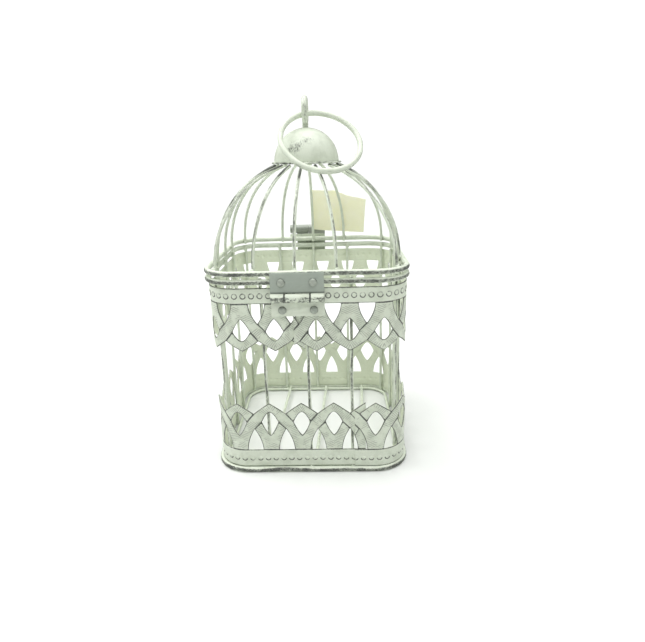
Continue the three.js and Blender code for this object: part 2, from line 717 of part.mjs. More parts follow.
// The ring is let down from level, half a degree at a time, until it lies on the ribs.
function ringDroop(holdZ) {
  const needed = (RING_WIRE + RIB_WIRE) / 2 + RING_REST;
  const clear = (droop) => circlePath(RING_RADIUS, 72).every((p) => {
    const at = new THREE.Vector3(p.x, p.y - RING_RADIUS, 0).applyEuler(ringTurn(droop));
    return aboveDome(at.setZ(at.z + holdZ)) >= needed;
  });
  let droop = 0;
  while (droop < 80 && clear(droop + 0.5)) droop += 0.5;
  return droop;
}

// Hanging ring: it goes through the eye, and lies forward on the dome.
const ringHold = new THREE.Group();
ringHold.position.z = eyeZ - EYE_OPENING / 2 + RING_WIRE / 2 + RING_PLAY;
ringHold.rotation.copy(ringTurn(ringDroop(ringHold.position.z)));
root.add(ringHold);
const ringLoop = wireLoop(circlePath(RING_RADIUS, 36), RING_WIRE);
add(ringHold, "hanging_ring", ringLoop, paint).position.y = -RING_RADIUS;

// ---- Hasp -----------------------------------------------------------------------------

const haspLeft = HARDWARE_X - HASP_BARREL_WIDTH / 2;
const haspRight = HARDWARE_X + HASP_BARREL_WIDTH / 2;
const haspSplit = haspLeft + HASP_KNUCKLE;
const haspZ = lidRimTop + HASP_ABOVE_RIM + HASP_BARREL / 2;
const bracketFace = frontFace + WELD_GAP;
const haspY = bracketFace + HASP_BARREL / 2;
const haspBore = HASP_BARREL / 2 - BARREL_WALL;
const strapFace = bracketFace + LEAF + STRAP_GAP;
const stapleZ = upperBandTop - UPPER_BAND.strip * 0.4;

function knuckle(x1, x2) {
  return barAlongX(HASP_BARREL / 2, x1, x2, haspY, haspZ);
}

// The lid's half of the hasp: a plate on the outside of the lid rim, with a knuckle.
function bracket() {
  const foot = box(
    [haspLeft, bracketFace, lidRimZ - RIM_WIRE / 2],
    [haspRight, bracketFace + LEAF, haspZ - HASP_BARREL / 2 - KNUCKLE_GAP],
  );
  const neck = box(
    [haspSplit + KNUCKLE_GAP, bracketFace, lidRimZ],
    [haspRight, bracketFace + LEAF, haspZ],
  );
  const bore = barAlongX(haspBore, haspSplit - 1, haspRight + 1, haspY, haspZ);
  return joined([foot, neck, knuckle(haspSplit + KNUCKLE_GAP, haspRight)], [bore]);
}

// The swinging half: a strap that hangs over both rims, slotted for the staple.
function strap() {
  const left = haspRight - STRAP_WIDTH;
  const top = haspZ - HASP_BARREL / 2 - KNUCKLE_GAP;
  const plate = box(
    [left, strapFace, stapleZ - STAPLE_WIRE / 2 - STRAP_END_BELOW_STAPLE],
    [haspRight, strapFace + LEAF, top],
  );
  const neck = box([left, strapFace, top - 1], [haspSplit, strapFace + LEAF, haspZ]);
  const halfSlot = (STAPLE_SPREAD + STAPLE_WIRE) / 2 + SLOT_CLEARANCE;
  const slotZ = STAPLE_WIRE / 2 + SLOT_CLEARANCE;
  const slot = box(
    [HARDWARE_X - halfSlot, strapFace - 1, stapleZ - slotZ],
    [HARDWARE_X + halfSlot, strapFace + LEAF + 1, stapleZ + slotZ],
  );
  const bore = barAlongX(haspBore, haspLeft - 1, haspSplit + 1, haspY, haspZ);
  return joined([plate, neck, knuckle(haspLeft, haspSplit)], [slot, bore]);
}

// Staple: a wire bent to a U, lying level, its two ends on the upper band.
function staple() {
  const inner = STAPLE_SPREAD / 2;
  const seamToStaple = 2 * wallQuarter(upperBandHalf) - UPPER_BAND.seamAt - HARDWARE_X;
  const share = seamToStaple / bandLength(UPPER_BAND, upperBandHalf);
  const from = upperBandFace + layerAt(share) + WELD_GAP;
  const to = strapFace + LEAF + STAPLE_REACH - STAPLE_WIRE / 2;
  const points = [new THREE.Vector3(-inner, from, 0)];
  for (let k = 0; k <= 8; k++) {
    const angle = (k * Math.PI) / 8;
    points.push(new THREE.Vector3(-inner * Math.cos(angle), to - inner + inner * Math.sin(angle), 0));
  }
  points.push(new THREE.Vector3(inner, from, 0));
  return wireAlong(points, STAPLE_WIRE, 14);
}

add(lid, "hasp_bracket", bracket(), darkSteel);
add(lid, "hasp_pin",
  barAlongX(haspBore * Math.cos(Math.PI / 16) - PIN_CLEARANCE, haspLeft, haspRight, haspY, haspZ),
  darkSteel);
add(root, "hasp_strap", strap(), darkSteel);
add(cage, "hasp_staple", staple(), darkSteel).position.set(HARDWARE_X, 0, stapleZ);

// ---- Paper tag ------------------------------------------------------------------------

// A blank paper tag leaning on the outside of the middle and right ribs of the back.
function tag() {
  const shape = new THREE.Shape(TAG_OUTLINE.map(([x, z]) => new THREE.Vector2(-x, z)));
  const sheet = new THREE.ExtrudeGeometry(shape, { depth: TAG_SHEET, bevelEnabled: false });
  return sheet.rotateX(Math.PI / 2).rotateZ(Math.PI).rotateX(degrees(TAG_LEAN));
}

const tagMesh = add(lid, "paper_tag", tag(), paper);
const domeHalf = barTopHalf + RIB_WIRE / 2;
tagMesh.position.set(0, domeHalf + 2.2, lidRimTop + TAG_FOOT);

export default root;
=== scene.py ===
"""Looks of the wire birdcage card box: painted wire, stamped lattice bands and bare steel hardware.

Lengths are written in millimetres and built in metres, in the frame of the CAD model:
+X right, -Y towards the wall with the hinge, +Z up, the origin on the floor under the cage.
"""

import json
import math

import bmesh
import bpy
import numpy as np
from mathutils import Matrix, Vector, geometry, noise


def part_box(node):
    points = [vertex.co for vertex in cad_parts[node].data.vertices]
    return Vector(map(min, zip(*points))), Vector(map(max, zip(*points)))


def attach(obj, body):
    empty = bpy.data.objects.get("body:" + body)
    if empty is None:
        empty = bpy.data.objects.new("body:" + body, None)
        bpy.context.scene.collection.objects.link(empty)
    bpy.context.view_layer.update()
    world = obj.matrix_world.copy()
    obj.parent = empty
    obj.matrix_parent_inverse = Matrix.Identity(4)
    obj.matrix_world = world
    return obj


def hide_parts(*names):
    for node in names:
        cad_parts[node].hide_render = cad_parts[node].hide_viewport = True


MM = 0.001

# ---- Sizes that the CAD boxes don't give, in millimetres ----

CORNER_INSET = 42.25  # from the middle of a side to where its corner starts
BAR_FOOT_HALF = 60.1
BAR_TOP_HALF = 58.95
WALL_HEIGHT = 130.5
BASE_WIRE = 3.4
RIM_WIRE = 3.5
FLOOR_WIRE = 2.2
BAR_WIRE = 2.0
RIB_WIRE = 2.0
RIB_END_RADIUS = 21.0
CAP_SHEET = 0.8
STEM_HOLE = 2.2  # radius of the hole for the eye's stem, in the cap and the crown plate
STREAK_RADIUS = 21.0  # where the lengths of the cap's streaks are measured round it
EYE_WIRE = 3.8
RING_WIRE = 3.5
MIDDLE_KNUCKLE = 15.1  # width of the hinge's middle knuckle
UPPER_BARREL_FROM = -64.5  # the hinge's barrel is in front of this plane on the upper leaf
LOWER_BARREL_FROM = -63.1  # and in front of this one on the lower leaf
RIVET_HEAD_HEIGHT = 1.3
HASP_BARREL = 6.8
STAPLE_WIRE = 1.8
WELD_GAP = 0.05
WELD_BEAD = 1.35  # radius of a lump of weld

SHEET = 0.7
BAND_LAP_GAP = 0.3
ARCH_PITCH = 20.6
ARCH_WIDTH = 2.9
WEB_WIDTH = 10.6
DIAMOND_WIDTH = 10.8
WAIST = 0.58  # where a diamond is widest, as a share of its height
DOTS_PER_ARCH = 4
DOT_RADIUS = 1.5
DOT_HEIGHT = 0.45
HATCH_PITCH = 1.2  # from one stamped stripe to the next, along an arch
GROOVE_DEPTH = 0.14
GROOVE_WIDTH = 0.75
BAND_GRID = 0.9  # spacing of the points inside a band's mesh
LOWER_BAND = dict(
    edge=3.45, up=1, strip=12.4, pointed=15.3, foot=10.6, top=27.3, valley=26.2, peak=33.6,
    seam=28.6, lap=6.9, first=13.2, past=0.3,
)
UPPER_BAND = dict(
    edge=125.0, up=-1, strip=9.8, pointed=12.6, foot=9.6, top=23.6, valley=23.8, peak=30.4,
    seam=-8.0, lap=6.6, first=13.7, past=2.0,
)

TAG_OUTLINE = [(0, 4), (0, 36), (17.5, 35.5), (27.5, 31), (42, 27.3), (40.5, 0)]
TAG_LEAN = math.radians(13.6)
TAG_FOOT = Vector((0, 62.15, 137.3))
TAG_SHEET = 0.3
TAG_CREASE = 22.0  # where the tag is folded, from its left edge
TAG_FOLD = 1.9  # how far the folded end leaves the flat

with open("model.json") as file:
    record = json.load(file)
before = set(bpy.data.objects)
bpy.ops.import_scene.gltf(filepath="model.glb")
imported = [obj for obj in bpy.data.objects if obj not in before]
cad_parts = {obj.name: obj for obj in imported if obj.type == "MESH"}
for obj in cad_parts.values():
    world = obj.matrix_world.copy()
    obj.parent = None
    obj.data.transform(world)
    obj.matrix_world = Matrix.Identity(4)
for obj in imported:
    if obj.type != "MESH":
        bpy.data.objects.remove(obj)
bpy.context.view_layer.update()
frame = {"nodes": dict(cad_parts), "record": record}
record = frame["record"]
body_of_node = {n: b for b, names in record["behaviour"]["bodies"].items() for n in names}


def dot_level(band):
    """Height of a band's row of dots, in the middle of its plain strip."""
    return band["edge"] + band["up"] * band["strip"] / 2


def box_mm(node):
    low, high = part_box(node)
    return low / MM, high / MM


def cad_points(node):
    """The corners of a CAD node, in millimetres."""
    return np.array([v.co for v in frame["nodes"][node].data.vertices]) / MM


def stand_in(obj, *nodes):
    """obj is shown in place of these CAD nodes, which ride on one body."""
    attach(obj, body_of_node[nodes[0]])
    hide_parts(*nodes)
    return obj


# ---- Meshes ----


def linked(name, data):
    """A new object in the scene."""
    obj = bpy.data.objects.new(name, data)
    bpy.context.scene.collection.objects.link(obj)
    return obj


def mesh_object(name, points, faces, material, smooth_angle=40):
    """An object from points in millimetres."""
    mesh = bpy.data.meshes.new(name)
    mesh.from_pydata([tuple(c * MM for c in p) for p in points], [], faces)
    mesh.shade_smooth()
    mesh.set_sharp_from_angle(angle=math.radians(smooth_angle))
    mesh.materials.append(material)
    return linked(name, mesh)


def face_outwards(obj):
    """Turns the faces of a closed mesh so that they all look out."""
    bm = bmesh.new()
    bm.from_mesh(obj.data)
    bmesh.ops.recalc_face_normals(bm, faces=bm.faces)
    bm.to_mesh(obj.data)
    bm.free()


def store(obj, name, vectors):
    """Keeps a vector for each vertex, for the material to read."""
    layer = obj.data.attributes.new(name, "FLOAT_VECTOR", "POINT")
    layer.data.foreach_set("vector", np.asarray(vectors, np.float32).ravel())


def lump(at, size):
    """Smooth noise, from about -1 to 1, that changes over `size` millimetres."""
    return noise.noise(Vector(at) / size)


def tube(name, path, outward, wire, material, closed=False, sides=20, lumps=0.03):
    """Round painted wire along a path; outward(i) is the direction away from the object.

    The attribute "wire" holds the distance along it and which way the surface looks:
    1 outward to -1 inward, and 1 to one side to -1 to the other.
    """
    points, faces, facts = [], [], []
    count = len(path)
    travelled = 0.0
    for i, at in enumerate(path):
        before = path[i - 1] if closed or i else at
        after = path[(i + 1) % count] if closed or i < count - 1 else at
        along = (after - before).normalized()
        if i:
            travelled += (at - path[i - 1]).length
        out = outward(i)
        out = (out - along * out.dot(along)).normalized()
        side = along.cross(out)
        for j in range(sides):
            angle = 2 * math.pi * j / sides
            look = out * math.cos(angle) + side * math.sin(angle)
            spot = at + look * wire / 2
            radius = wire / 2 * (1 + lumps * lump(spot, 3.1) + lumps * lump(spot, 0.9) / 2)
            points.append(at + look * radius)
            facts.append((travelled, math.cos(angle), math.sin(angle)))
    rings = count if closed else count - 1
    for i in range(rings):
        for j in range(sides):
            k = (j + 1) % sides
            a, b = i * sides, ((i + 1) % count) * sides
            faces.append((a + j, b + j, b + k, a + k))
    if not closed:
        faces.append(tuple(range(sides - 1, -1, -1)))
        faces.append(tuple((count - 1) * sides + j for j in range(sides)))
    obj = mesh_object(name, points, faces, material, 50)
    face_outwards(obj)
    store(obj, "wire", facts)
    return obj


def turned(name, profile, axis, centre, material, segments=64):
    """A closed profile of (height along the axis, radius) pairs turned round the axis."""
    axis = Vector(axis).normalized()
    first = axis.orthogonal().normalized()
    second = axis.cross(first)
    points, faces = [], []
    for s in range(segments):
        angle = 2 * math.pi * s / segments
        spoke = first * math.cos(angle) + second * math.sin(angle)
        points += [centre + axis * h + spoke * r for h, r in profile]
    count = len(profile)
    for s in range(segments):
        for p in range(count):
            q = (p + 1) % count
            a, b = s * count, ((s + 1) % segments) * count
            faces.append((a + p, a + q, b + q, b + p))
    obj = mesh_object(name, points, faces, material)
    bm = bmesh.new()
    bm.from_mesh(obj.data)
    bmesh.ops.remove_doubles(bm, verts=bm.verts, dist=0.002 * MM)
    bmesh.ops.recalc_face_normals(bm, faces=bm.faces)
    bm.to_mesh(obj.data)
    bm.free()
    return obj


# ---- The rounded square that the walls follow ----


def wall_quarter(half):
    return 2 * CORNER_INSET + (half - CORNER_INSET) * math.pi / 2


def wall_place(along, half):
    """The place `along` the wall, counted anticlockwise from the front's middle, and its normal."""
    corner = half - CORNER_INSET
    quarter = wall_quarter(half)
    side = math.floor((along + CORNER_INSET) / quarter)
    local = along + CORNER_INSET - side * quarter
    angle = max(0.0, local - 2 * CORNER_INSET) / corner
    flat = min(local, 2 * CORNER_INSET) - CORNER_INSET
    normal = Vector((math.sin(angle), -math.cos(angle), 0))
    at = Vector((flat, -CORNER_INSET, 0)) + corner * normal
    turn = Matrix.Rotation(side * math.pi / 2, 3, "Z")
    return turn @ at, turn @ normal


# ---- Material nodes ----


class Nodes:
    """Short names for the shader nodes that the materials are made of."""

    def __init__(self, name):
        self.material = bpy.data.materials.new(name)
        self.material.use_nodes = True
        self.tree = self.material.node_tree
        self.tree.nodes.clear()
        self.output = self.tree.nodes.new("ShaderNodeOutputMaterial")

    def set(self, socket, value):
        if isinstance(value, bpy.types.NodeSocket):
            self.tree.links.new(value, socket)
        else:
            socket.default_value = value

    def add(self, kind, settings=None, **inputs):
        node = self.tree.nodes.new(kind)
        for key, value in (settings or {}).items():
            setattr(node, key, value)
        for key, value in inputs.items():
            self.set(node.inputs[key.replace("_", " ")], value)
        return node

    def math(self, operation, a, b=0.0):
        node = self.add("ShaderNodeMath", {"operation": operation})
        self.set(node.inputs[0], a)
        self.set(node.inputs[1], b)
        return node.outputs[0]

    def times(self, a, b):
        return self.math("MULTIPLY", a, b)

    def total(self, *terms):
        """Sum of (weight, value) pairs and plain numbers."""
        result = 0.0
        for term in terms:
            if isinstance(term, tuple):
                term = self.times(term[1], term[0])
            result = self.math("ADD", term, result)
        return result

    def step(self, value, start, end):
        """0 below start, 1 above end, smooth between; start may be the larger."""
        low, high, to_low, to_high = (start, end, 0.0, 1.0)
        if start > end:
            low, high, to_low, to_high = (end, start, 1.0, 0.0)
        node = self.add("ShaderNodeMapRange", {"interpolation_type": "SMOOTHSTEP"},
                        Value=value, From_Min=low, From_Max=high, To_Min=to_low, To_Max=to_high)
        return node.outputs[0]

    def mix(self, share, a, b):
        node = self.add("ShaderNodeMix", {"data_type": "RGBA"})
        self.set(node.inputs[0], share)
        self.set(node.inputs[6], a if isinstance(a, bpy.types.NodeSocket) else (*a, 1))
        self.set(node.inputs[7], b if isinstance(b, bpy.types.NodeSocket) else (*b, 1))
        return node.outputs[2]

    def place(self):
        """The surface point in millimetres, in the object's own frame."""
        coords = self.add("ShaderNodeTexCoord").outputs["Object"]
        node = self.add("ShaderNodeVectorMath", {"operation": "SCALE"})
        self.set(node.inputs[0], coords)
        self.set(node.inputs["Scale"], 1 / MM)
        return node.outputs[0]

    def split(self, vector):
        """The three numbers of a vector."""
        return self.add("ShaderNodeSeparateXYZ", Vector=vector).outputs

    def attribute(self, name):
        """The three numbers of a stored vector."""
        return self.split(self.add("ShaderNodeAttribute", {"attribute_name": name}).outputs["Vector"])

    def vector(self, x, y, z):
        return self.add("ShaderNodeCombineXYZ", X=x, Y=y, Z=z).outputs[0]

    def noise(self, at, size, detail=3.0, roughness=0.55):
        """Noise, spread to fill 0 to 1, that changes over `size` of the coordinate's units."""
        node = self.add("ShaderNodeTexNoise", Vector=at, Scale=1 / size, Detail=detail,
                        Roughness=roughness)
        spread = self.add("ShaderNodeMapRange", Value=node.outputs[0], From_Min=0.28, From_Max=0.72)
        return spread.outputs[0]

    def finish(self, colour, roughness, metallic, height, depth, specular=0.5):
        """Closes the material; height is 0 to 1, and depth is what 1 stands for in mm."""
        bump = self.add("ShaderNodeBump", Height=height, Distance=depth * MM, Strength=1.0)
        shader = self.add("ShaderNodeBsdfPrincipled", Base_Color=colour, Roughness=roughness,
                          Metallic=metallic, Normal=bump.outputs[0])
        shader.inputs["Specular IOR Level"].default_value = specular
        self.tree.links.new(shader.outputs[0], self.output.inputs["Surface"])
        return self.material


# The first tone is painted light: a lighter paint for the lattice's inside faces, standing in for light
# bounced round inside the cage.
PAINT_LIT_INSIDE = (0.82, 0.875, 0.70)
PAINT_LIGHT = (0.690, 0.745, 0.625)
PAINT_DEEP = (0.610, 0.665, 0.545)
PAINT_THIN = (0.33, 0.36, 0.30)
WORN_LIGHT = (0.19, 0.205, 0.18)
WORN_DARK = (0.035, 0.04, 0.033)


def painted(n, place, wear, extra_height=0.0, depth=0.10, painted_light=0.0):
    """Closes a paint material: wear goes from 0, whole paint, to 1, rubbed to the metal.

    depth is the height of the relief in mm, and the last argument how far the paint is lightened as
    painted light.
    """
    mottle = n.noise(place, 6, 4)
    grain = n.noise(place, 0.5, 3, 0.7)
    speck = n.noise(place, 0.45, 3, 0.7)
    paint = n.mix(n.step(mottle, 0.3, 0.9), PAINT_LIGHT, PAINT_DEEP)
    paint = n.mix(n.times(n.step(grain, 0.55, 1.0), 0.30), paint, PAINT_THIN)
    # Painted light: the paint is lifted towards the lighter inside tone by the last argument.
    paint = n.mix(painted_light, paint, PAINT_LIT_INSIDE)
    thin = n.step(wear, 0.20, 0.60)
    bare = n.step(wear, 0.50, 0.85)
    metal = n.mix(n.step(speck, 0.35, 0.75), WORN_DARK, WORN_LIGHT)
    colour = n.mix(bare, n.mix(thin, paint, PAINT_THIN), metal)
    roughness = n.total((0.16, bare), (0.10, grain), 0.40)
    metallic = n.times(bare, 0.2)
    height = n.total((0.35, grain), (0.35, mottle), (-0.5, bare), extra_height, 0.5)
    return n.finish(colour, roughness, metallic, height, depth)


def wire_paint(name, amount, sway=1.0, sway_size=22.0, worn_above=None):
    """Painted wire, rubbed in streaks along the side that looks out.

    amount is how worn that side is on average; sway is how far the streak wanders round
    the wire; above the height worn_above the wire is worn all round.
    """
    n = Nodes(name)
    place = n.place()
    along, out, side = n.attribute("wire")
    drawn = n.vector(n.times(along, 0.5), n.times(out, 1.6),
                     n.times(side, 1.6))
    swing = n.total((2 * sway, n.noise(place, sway_size, 1)), -sway)
    facing = n.total((1.0, out), (1.0, n.times(swing, side)))
    wear = n.total(
        (1.1, n.step(facing, 0.35, 1.0)),
        (0.85, n.noise(drawn, 0.6, 5, 0.75)),
        (0.5, n.noise(place, 9, 3)),
        amount - 1.65,
    )
    if worn_above is not None:
        height = n.split(place)[2]
        wear = n.total((1.0, wear), (0.55, n.step(height, worn_above - 6, worn_above)))
    return painted(n, place, wear)


def lattice_paint(name, row_level, upper_ring):
    """Painted stamped sheet: dark outlines, hatched arches and rings round the dots.

    row_level is the height of the row of dots, and upper_ring how dark a ring is above it; below it the
    ring is fully dark, painted shade under the raised dot.
    """
    n = Nodes(name)
    place = n.place()
    along, line, dot = n.attribute("lattice")
    u, v, front = n.attribute("plan")
    height = n.split(place)[2]
    patch = n.noise(place, 7, 3)
    rough = n.noise(place, 0.8, 4, 0.7)
    outline = n.total((1.35, n.step(line, 0.95, 0.15)), (0.55, rough), (0.45, patch), -0.98)
    near = n.step(n.math("ABSOLUTE", n.math("SUBTRACT", dot, 1.55)), 0.65, 0.15)
    # The dark ring round a dot is a mark in the paint; its lower half is kept darker than its upper half
    # as painted shade under the raised dot.
    low = n.step(height, row_level + 0.9, row_level - 0.9)
    near = n.times(near, n.total((1 - upper_ring, low), upper_ring))
    ring = n.total((1.3, near), (0.6, n.noise(place, 1.5, 3)), (0.4, patch), -0.92)
    stripe = n.math("SINE", n.times(along, 2 * math.pi / HATCH_PITCH))
    on_arch = n.step(v, 0.6, 1.8)
    hatch = n.times(n.step(stripe, -0.1, 0.8), on_arch)
    hatch = n.times(hatch, n.step(n.noise(place, 5, 2), 0.1, 0.6))
    scuff = n.total((1.0, n.noise(place, 1.3, 5, 0.75)), (0.7, patch), -1.15)
    specks = n.total((1.1, n.noise(place, 0.6, 4, 0.8)), (0.3, n.step(line, 3.0, 0.8)),
                     (0.4, patch), -1.08)
    marks = n.math("MAXIMUM", n.math("MAXIMUM", outline, ring), specks)
    marks = n.math("MAXIMUM", marks, n.times(hatch, 0.50))
    marks = n.math("MAXIMUM", marks, scuff)
    outside = n.total((0.75, front), 0.25)
    # Painted light: the inside faces are lightened, standing in for light bounced round inside the cage.
    painted_light = n.total((-0.8, front), 0.8)
    relief = n.total((-1.1, hatch), (-0.8, n.step(line, 0.8, 0.1)))
    return painted(n, place, n.times(marks, outside), relief, 0.14, painted_light)


def cap_paint():
    """Painted cap with dry-brushed dark streaks that run up its shoulders."""
    n = Nodes("cap_paint")
    place = n.place()
    x, y, z = n.split(place)
    foot = box_mm("cap")[0]
    turn = n.math("ARCTAN2", x, n.times(y, -1.0))
    round_mm = n.times(turn, STREAK_RADIUS)
    streak_at = n.vector(round_mm, n.times(z, 0.4), 0.0)
    streaks = n.noise(streak_at, 0.55, 5, 0.8)
    # Brushed on the front left and on the right, and a little in between and behind.
    left = n.times(n.step(turn, -1.1, -0.4), n.step(turn, 1.0, -0.3))
    right = n.times(n.step(turn, 0.85, 1.3), n.step(turn, 2.2, 1.7))
    behind = n.times(n.step(turn, -3.1, -2.5), n.step(turn, -1.4, -2.1))
    sides = n.math("MAXIMUM", n.math("MAXIMUM", left, right), behind)
    slant = n.total((1.0, z), (-0.30, round_mm), -foot.z - 5.8)
    height = n.times(n.step(slant, -4.0, 4.0), n.step(slant, 15.0, 6.0))
    brushed = n.times(sides, height)
    lip = n.step(z, foot.z + 1.0, foot.z + 0.2)
    wear = n.total((1.0, brushed), (1.5, streaks), (0.5, n.noise(place, 3.0, 3)), (0.9, lip), -1.60)
    return painted(n, place, wear)


def plate_paint(name, amount=0.0, rubbed_from=None):
    """Painted sheet with scuffs, rubbed beyond the radius rubbed_from about the Z axis."""
    n = Nodes(name)
    place = n.place()
    wear = n.total((0.9, n.noise(place, 1.4, 5, 0.7)), (0.8, n.noise(place, 6, 2)), amount - 1.25)
    if rubbed_from is not None:
        x, y, z = n.split(place)
        radius = n.math("SQRT", n.total((1.0, n.times(x, x)),
                                        (1.0, n.times(y, y))))
        wear = n.total((1.0, wear), (0.75, n.step(radius, rubbed_from, rubbed_from + 0.3)))
    return painted(n, place, wear)


def leaf_paint(name, barrel_from, joints, sheet):
    """A hinge leaf: its barrel, in front of the plane y = barrel_from, is rubbed paint below.

    joints are the two planes x between knuckles, darkened there as painted shade in the gaps. The plate
    is whole paint, or bare steel where sheet is a pair of steel colours, with a painted shade line where
    it meets the barrel.
    """
    n = Nodes(name)
    place = n.place()
    x, y, z = n.split(place)
    axis = (box_mm("hinge_pin")[0].z + box_mm("hinge_pin")[1].z) / 2
    barrel = n.step(y, barrel_from, barrel_from - 0.5)
    drawn = n.vector(n.times(x, 0.3), y, z)
    rubbed = n.total((1.1, n.noise(drawn, 0.6, 5, 0.75)), (0.5, n.noise(place, 5, 2)),
                     (0.9, n.step(z, axis + 1.7, axis + 0.7)), -0.68)
    scuff = n.total((0.9, n.noise(place, 1.4, 5, 0.7)), (0.8, n.noise(place, 6, 2)), -1.3)
    middle, half = (joints[0] + joints[1]) / 2, (joints[1] - joints[0]) / 2
    from_joint = n.total((1.0, n.math("ABSOLUTE", n.total((1.0, x), -middle))), -half)
    # Painted shade: the barrel is darkened in the gaps between its knuckles.
    gap_shade = n.step(n.math("ABSOLUTE", from_joint), 0.75, 0.35)
    gap_shade = n.times(n.times(gap_shade, barrel), n.step(z, axis + 3.7, axis + 2.9))
    wear = n.total((1.0, n.times(rubbed, barrel)), (1.0, scuff), (1.4, gap_shade))
    grain = n.noise(n.vector(n.times(x, 0.1), y, z), 0.25, 4, 0.7)
    cloud = n.noise(place, 5, 4)
    thin = n.step(wear, 0.20, 0.60)
    bare = n.step(wear, 0.50, 0.85)
    paint = n.mix(n.step(cloud, 0.3, 0.9), PAINT_LIGHT, PAINT_DEEP)
    plate = paint
    if sheet:
        plate = n.mix(n.times(n.total((0.5, grain), (0.5, cloud)), 0.8), *sheet)
        plate = n.mix(barrel, plate, paint)
    colour = n.mix(bare, n.mix(n.times(thin, barrel), plate, PAINT_THIN),
                   n.mix(n.step(grain, 0.35, 0.75), WORN_DARK, WORN_LIGHT))
    roughness = n.total((0.15, cloud), (0.1, grain), 0.36)
    height = n.total((0.4, grain), (0.3, cloud), (-0.4, bare), 0.4)
    if sheet:
        # Painted shade: a dark line on the steel plate just above the barrel.
        crease_shade = n.times(n.step(z, axis + 4.0, axis + 3.4),
                            n.step(y, barrel_from, barrel_from + 0.3))
        colour = n.mix(n.times(crease_shade, 0.85), colour, WORN_DARK)
    return n.finish(colour, roughness, n.times(bare, 0.2), height, 0.06)


def steel(name, light, dark, grain_along=0.12, painted_below=None):
    """Bare sheet steel: rolled grain along X, clouds of oxide and small scratches.

    Below the height painted_below it still has its paint.
    """
    n = Nodes(name)
    place = n.place()
    x, y, z = n.split(place)
    grain_at = n.vector(n.times(x, grain_along), y, z)
    grain = n.noise(grain_at, 0.22, 4, 0.7)
    cloud = n.noise(place, 6, 4)
    pit = n.step(n.noise(place, 0.5, 3, 0.7), 0.8, 1.0)
    tone = n.total((0.35, grain), (0.65, cloud))
    colour = n.mix(tone, dark, light)
    colour = n.mix(n.times(pit, 0.6), colour, WORN_DARK)
    metallic = 0.35
    if painted_below is not None:
        scuff = n.total((1.0, n.noise(place, 1.3, 5, 0.75)), (0.8, n.noise(place, 6, 2)), -0.8)
        left = n.times(n.step(z, painted_below + 0.4, painted_below - 0.4),
                      n.step(scuff, 0.75, 0.35))
        colour = n.mix(left, colour, PAINT_LIGHT)
        metallic = n.total((-metallic, left), metallic)
    roughness = n.total((0.15, cloud), (0.10, grain), 0.36)
    return n.finish(colour, roughness, metallic, n.total((0.7, grain), (-0.6, pit)), 0.03)


def rivet_finish(name, top_y):
    """Rubbed rivet heads: crowns at y = top_y in the plain steel tone, and painted shade where they meet
    the sheet.
    """
    n = Nodes(name)
    place = n.place()
    y = n.split(place)[1]
    cloud = n.noise(place, 1.6, 4, 0.7)
    # Painted shade: the head darkens towards the sheet it sits on.
    rim = n.step(n.total((1.0, y), (0.5, cloud), -top_y), 0.95, 1.35)
    colour = n.mix(cloud, (0.44, 0.48, 0.41), (0.27, 0.30, 0.26))
    colour = n.mix(n.times(rim, 0.9), colour, (0.07, 0.08, 0.065))
    return n.finish(colour, n.total((0.2, cloud), 0.35), 0.2, n.total((0.6, cloud), (-0.3, rim)), 0.08)


def tag_paper():
    """Soft cream paper: fibres, a little mottling, and a crease rubbed lighter."""
    n = Nodes("tag_paper")
    place = n.place()
    x, y, z = n.split(place)
    fibre_at = n.vector(n.times(x, 0.5), y, z)
    fibre = n.noise(fibre_at, 0.45, 5, 0.75)
    mottle = n.noise(place, 7, 3)
    colour = n.mix(mottle, (0.97, 0.945, 0.71), (0.94, 0.915, 0.66))
    colour = n.mix(n.times(n.step(fibre, 0.5, 1.0), 0.2), colour, (0.78, 0.76, 0.52))
    crease = n.step(n.math("ABSOLUTE", n.math("SUBTRACT", x, TAG_CREASE)), 1.1, 0.1)
    colour = n.mix(n.times(crease, 0.4), colour, (0.96, 0.94, 0.80))
    height = n.total((0.8, fibre), (0.3, mottle))
    paper = n.finish(colour, 0.92, 0.0, height, 0.05, 0.2)
    shader = n.output.inputs["Surface"].links[0].from_node
    shader.inputs["Subsurface Weight"].default_value = 0.6
    shader.inputs["Subsurface Radius"].default_value = (1.0, 1.0, 0.7)
    shader.inputs["Subsurface Scale"].default_value = 1.2 * MM
    return paper


def floor_white():
    n = Nodes("floor_white")
    place = n.place()
    colour = n.mix(n.noise(place, 400, 2), (0.70, 0.715, 0.695), (0.72, 0.735, 0.715))
    return n.finish(colour, 0.9, 0.0, n.noise(place, 3, 2), 0.05, 0.0)


# ---- Lattice bands ----


def curve(start, bend, end, steps):
    """Points of a quadratic curve from start to end."""
    points = []
    for i in range(steps + 1):
        t = i / steps
        points.append(tuple(
            (1 - t) ** 2 * a + 2 * t * (1 - t) * b + t * t * c for a, b, c in zip(start, bend, end)
        ))
    return points


def straight(start, end, step=BAND_GRID):
    steps = max(1, math.ceil(math.dist(start, end) / step))
    return [tuple(a + (b - a) * i / steps for a, b in zip(start, end)) for i in range(steps + 1)]


def mirrored(points, about):
    return [(2 * about - x, y) for x, y in reversed(points)]


def waist_height(band):
    return band["foot"] + (band["top"] - band["foot"]) * WAIST


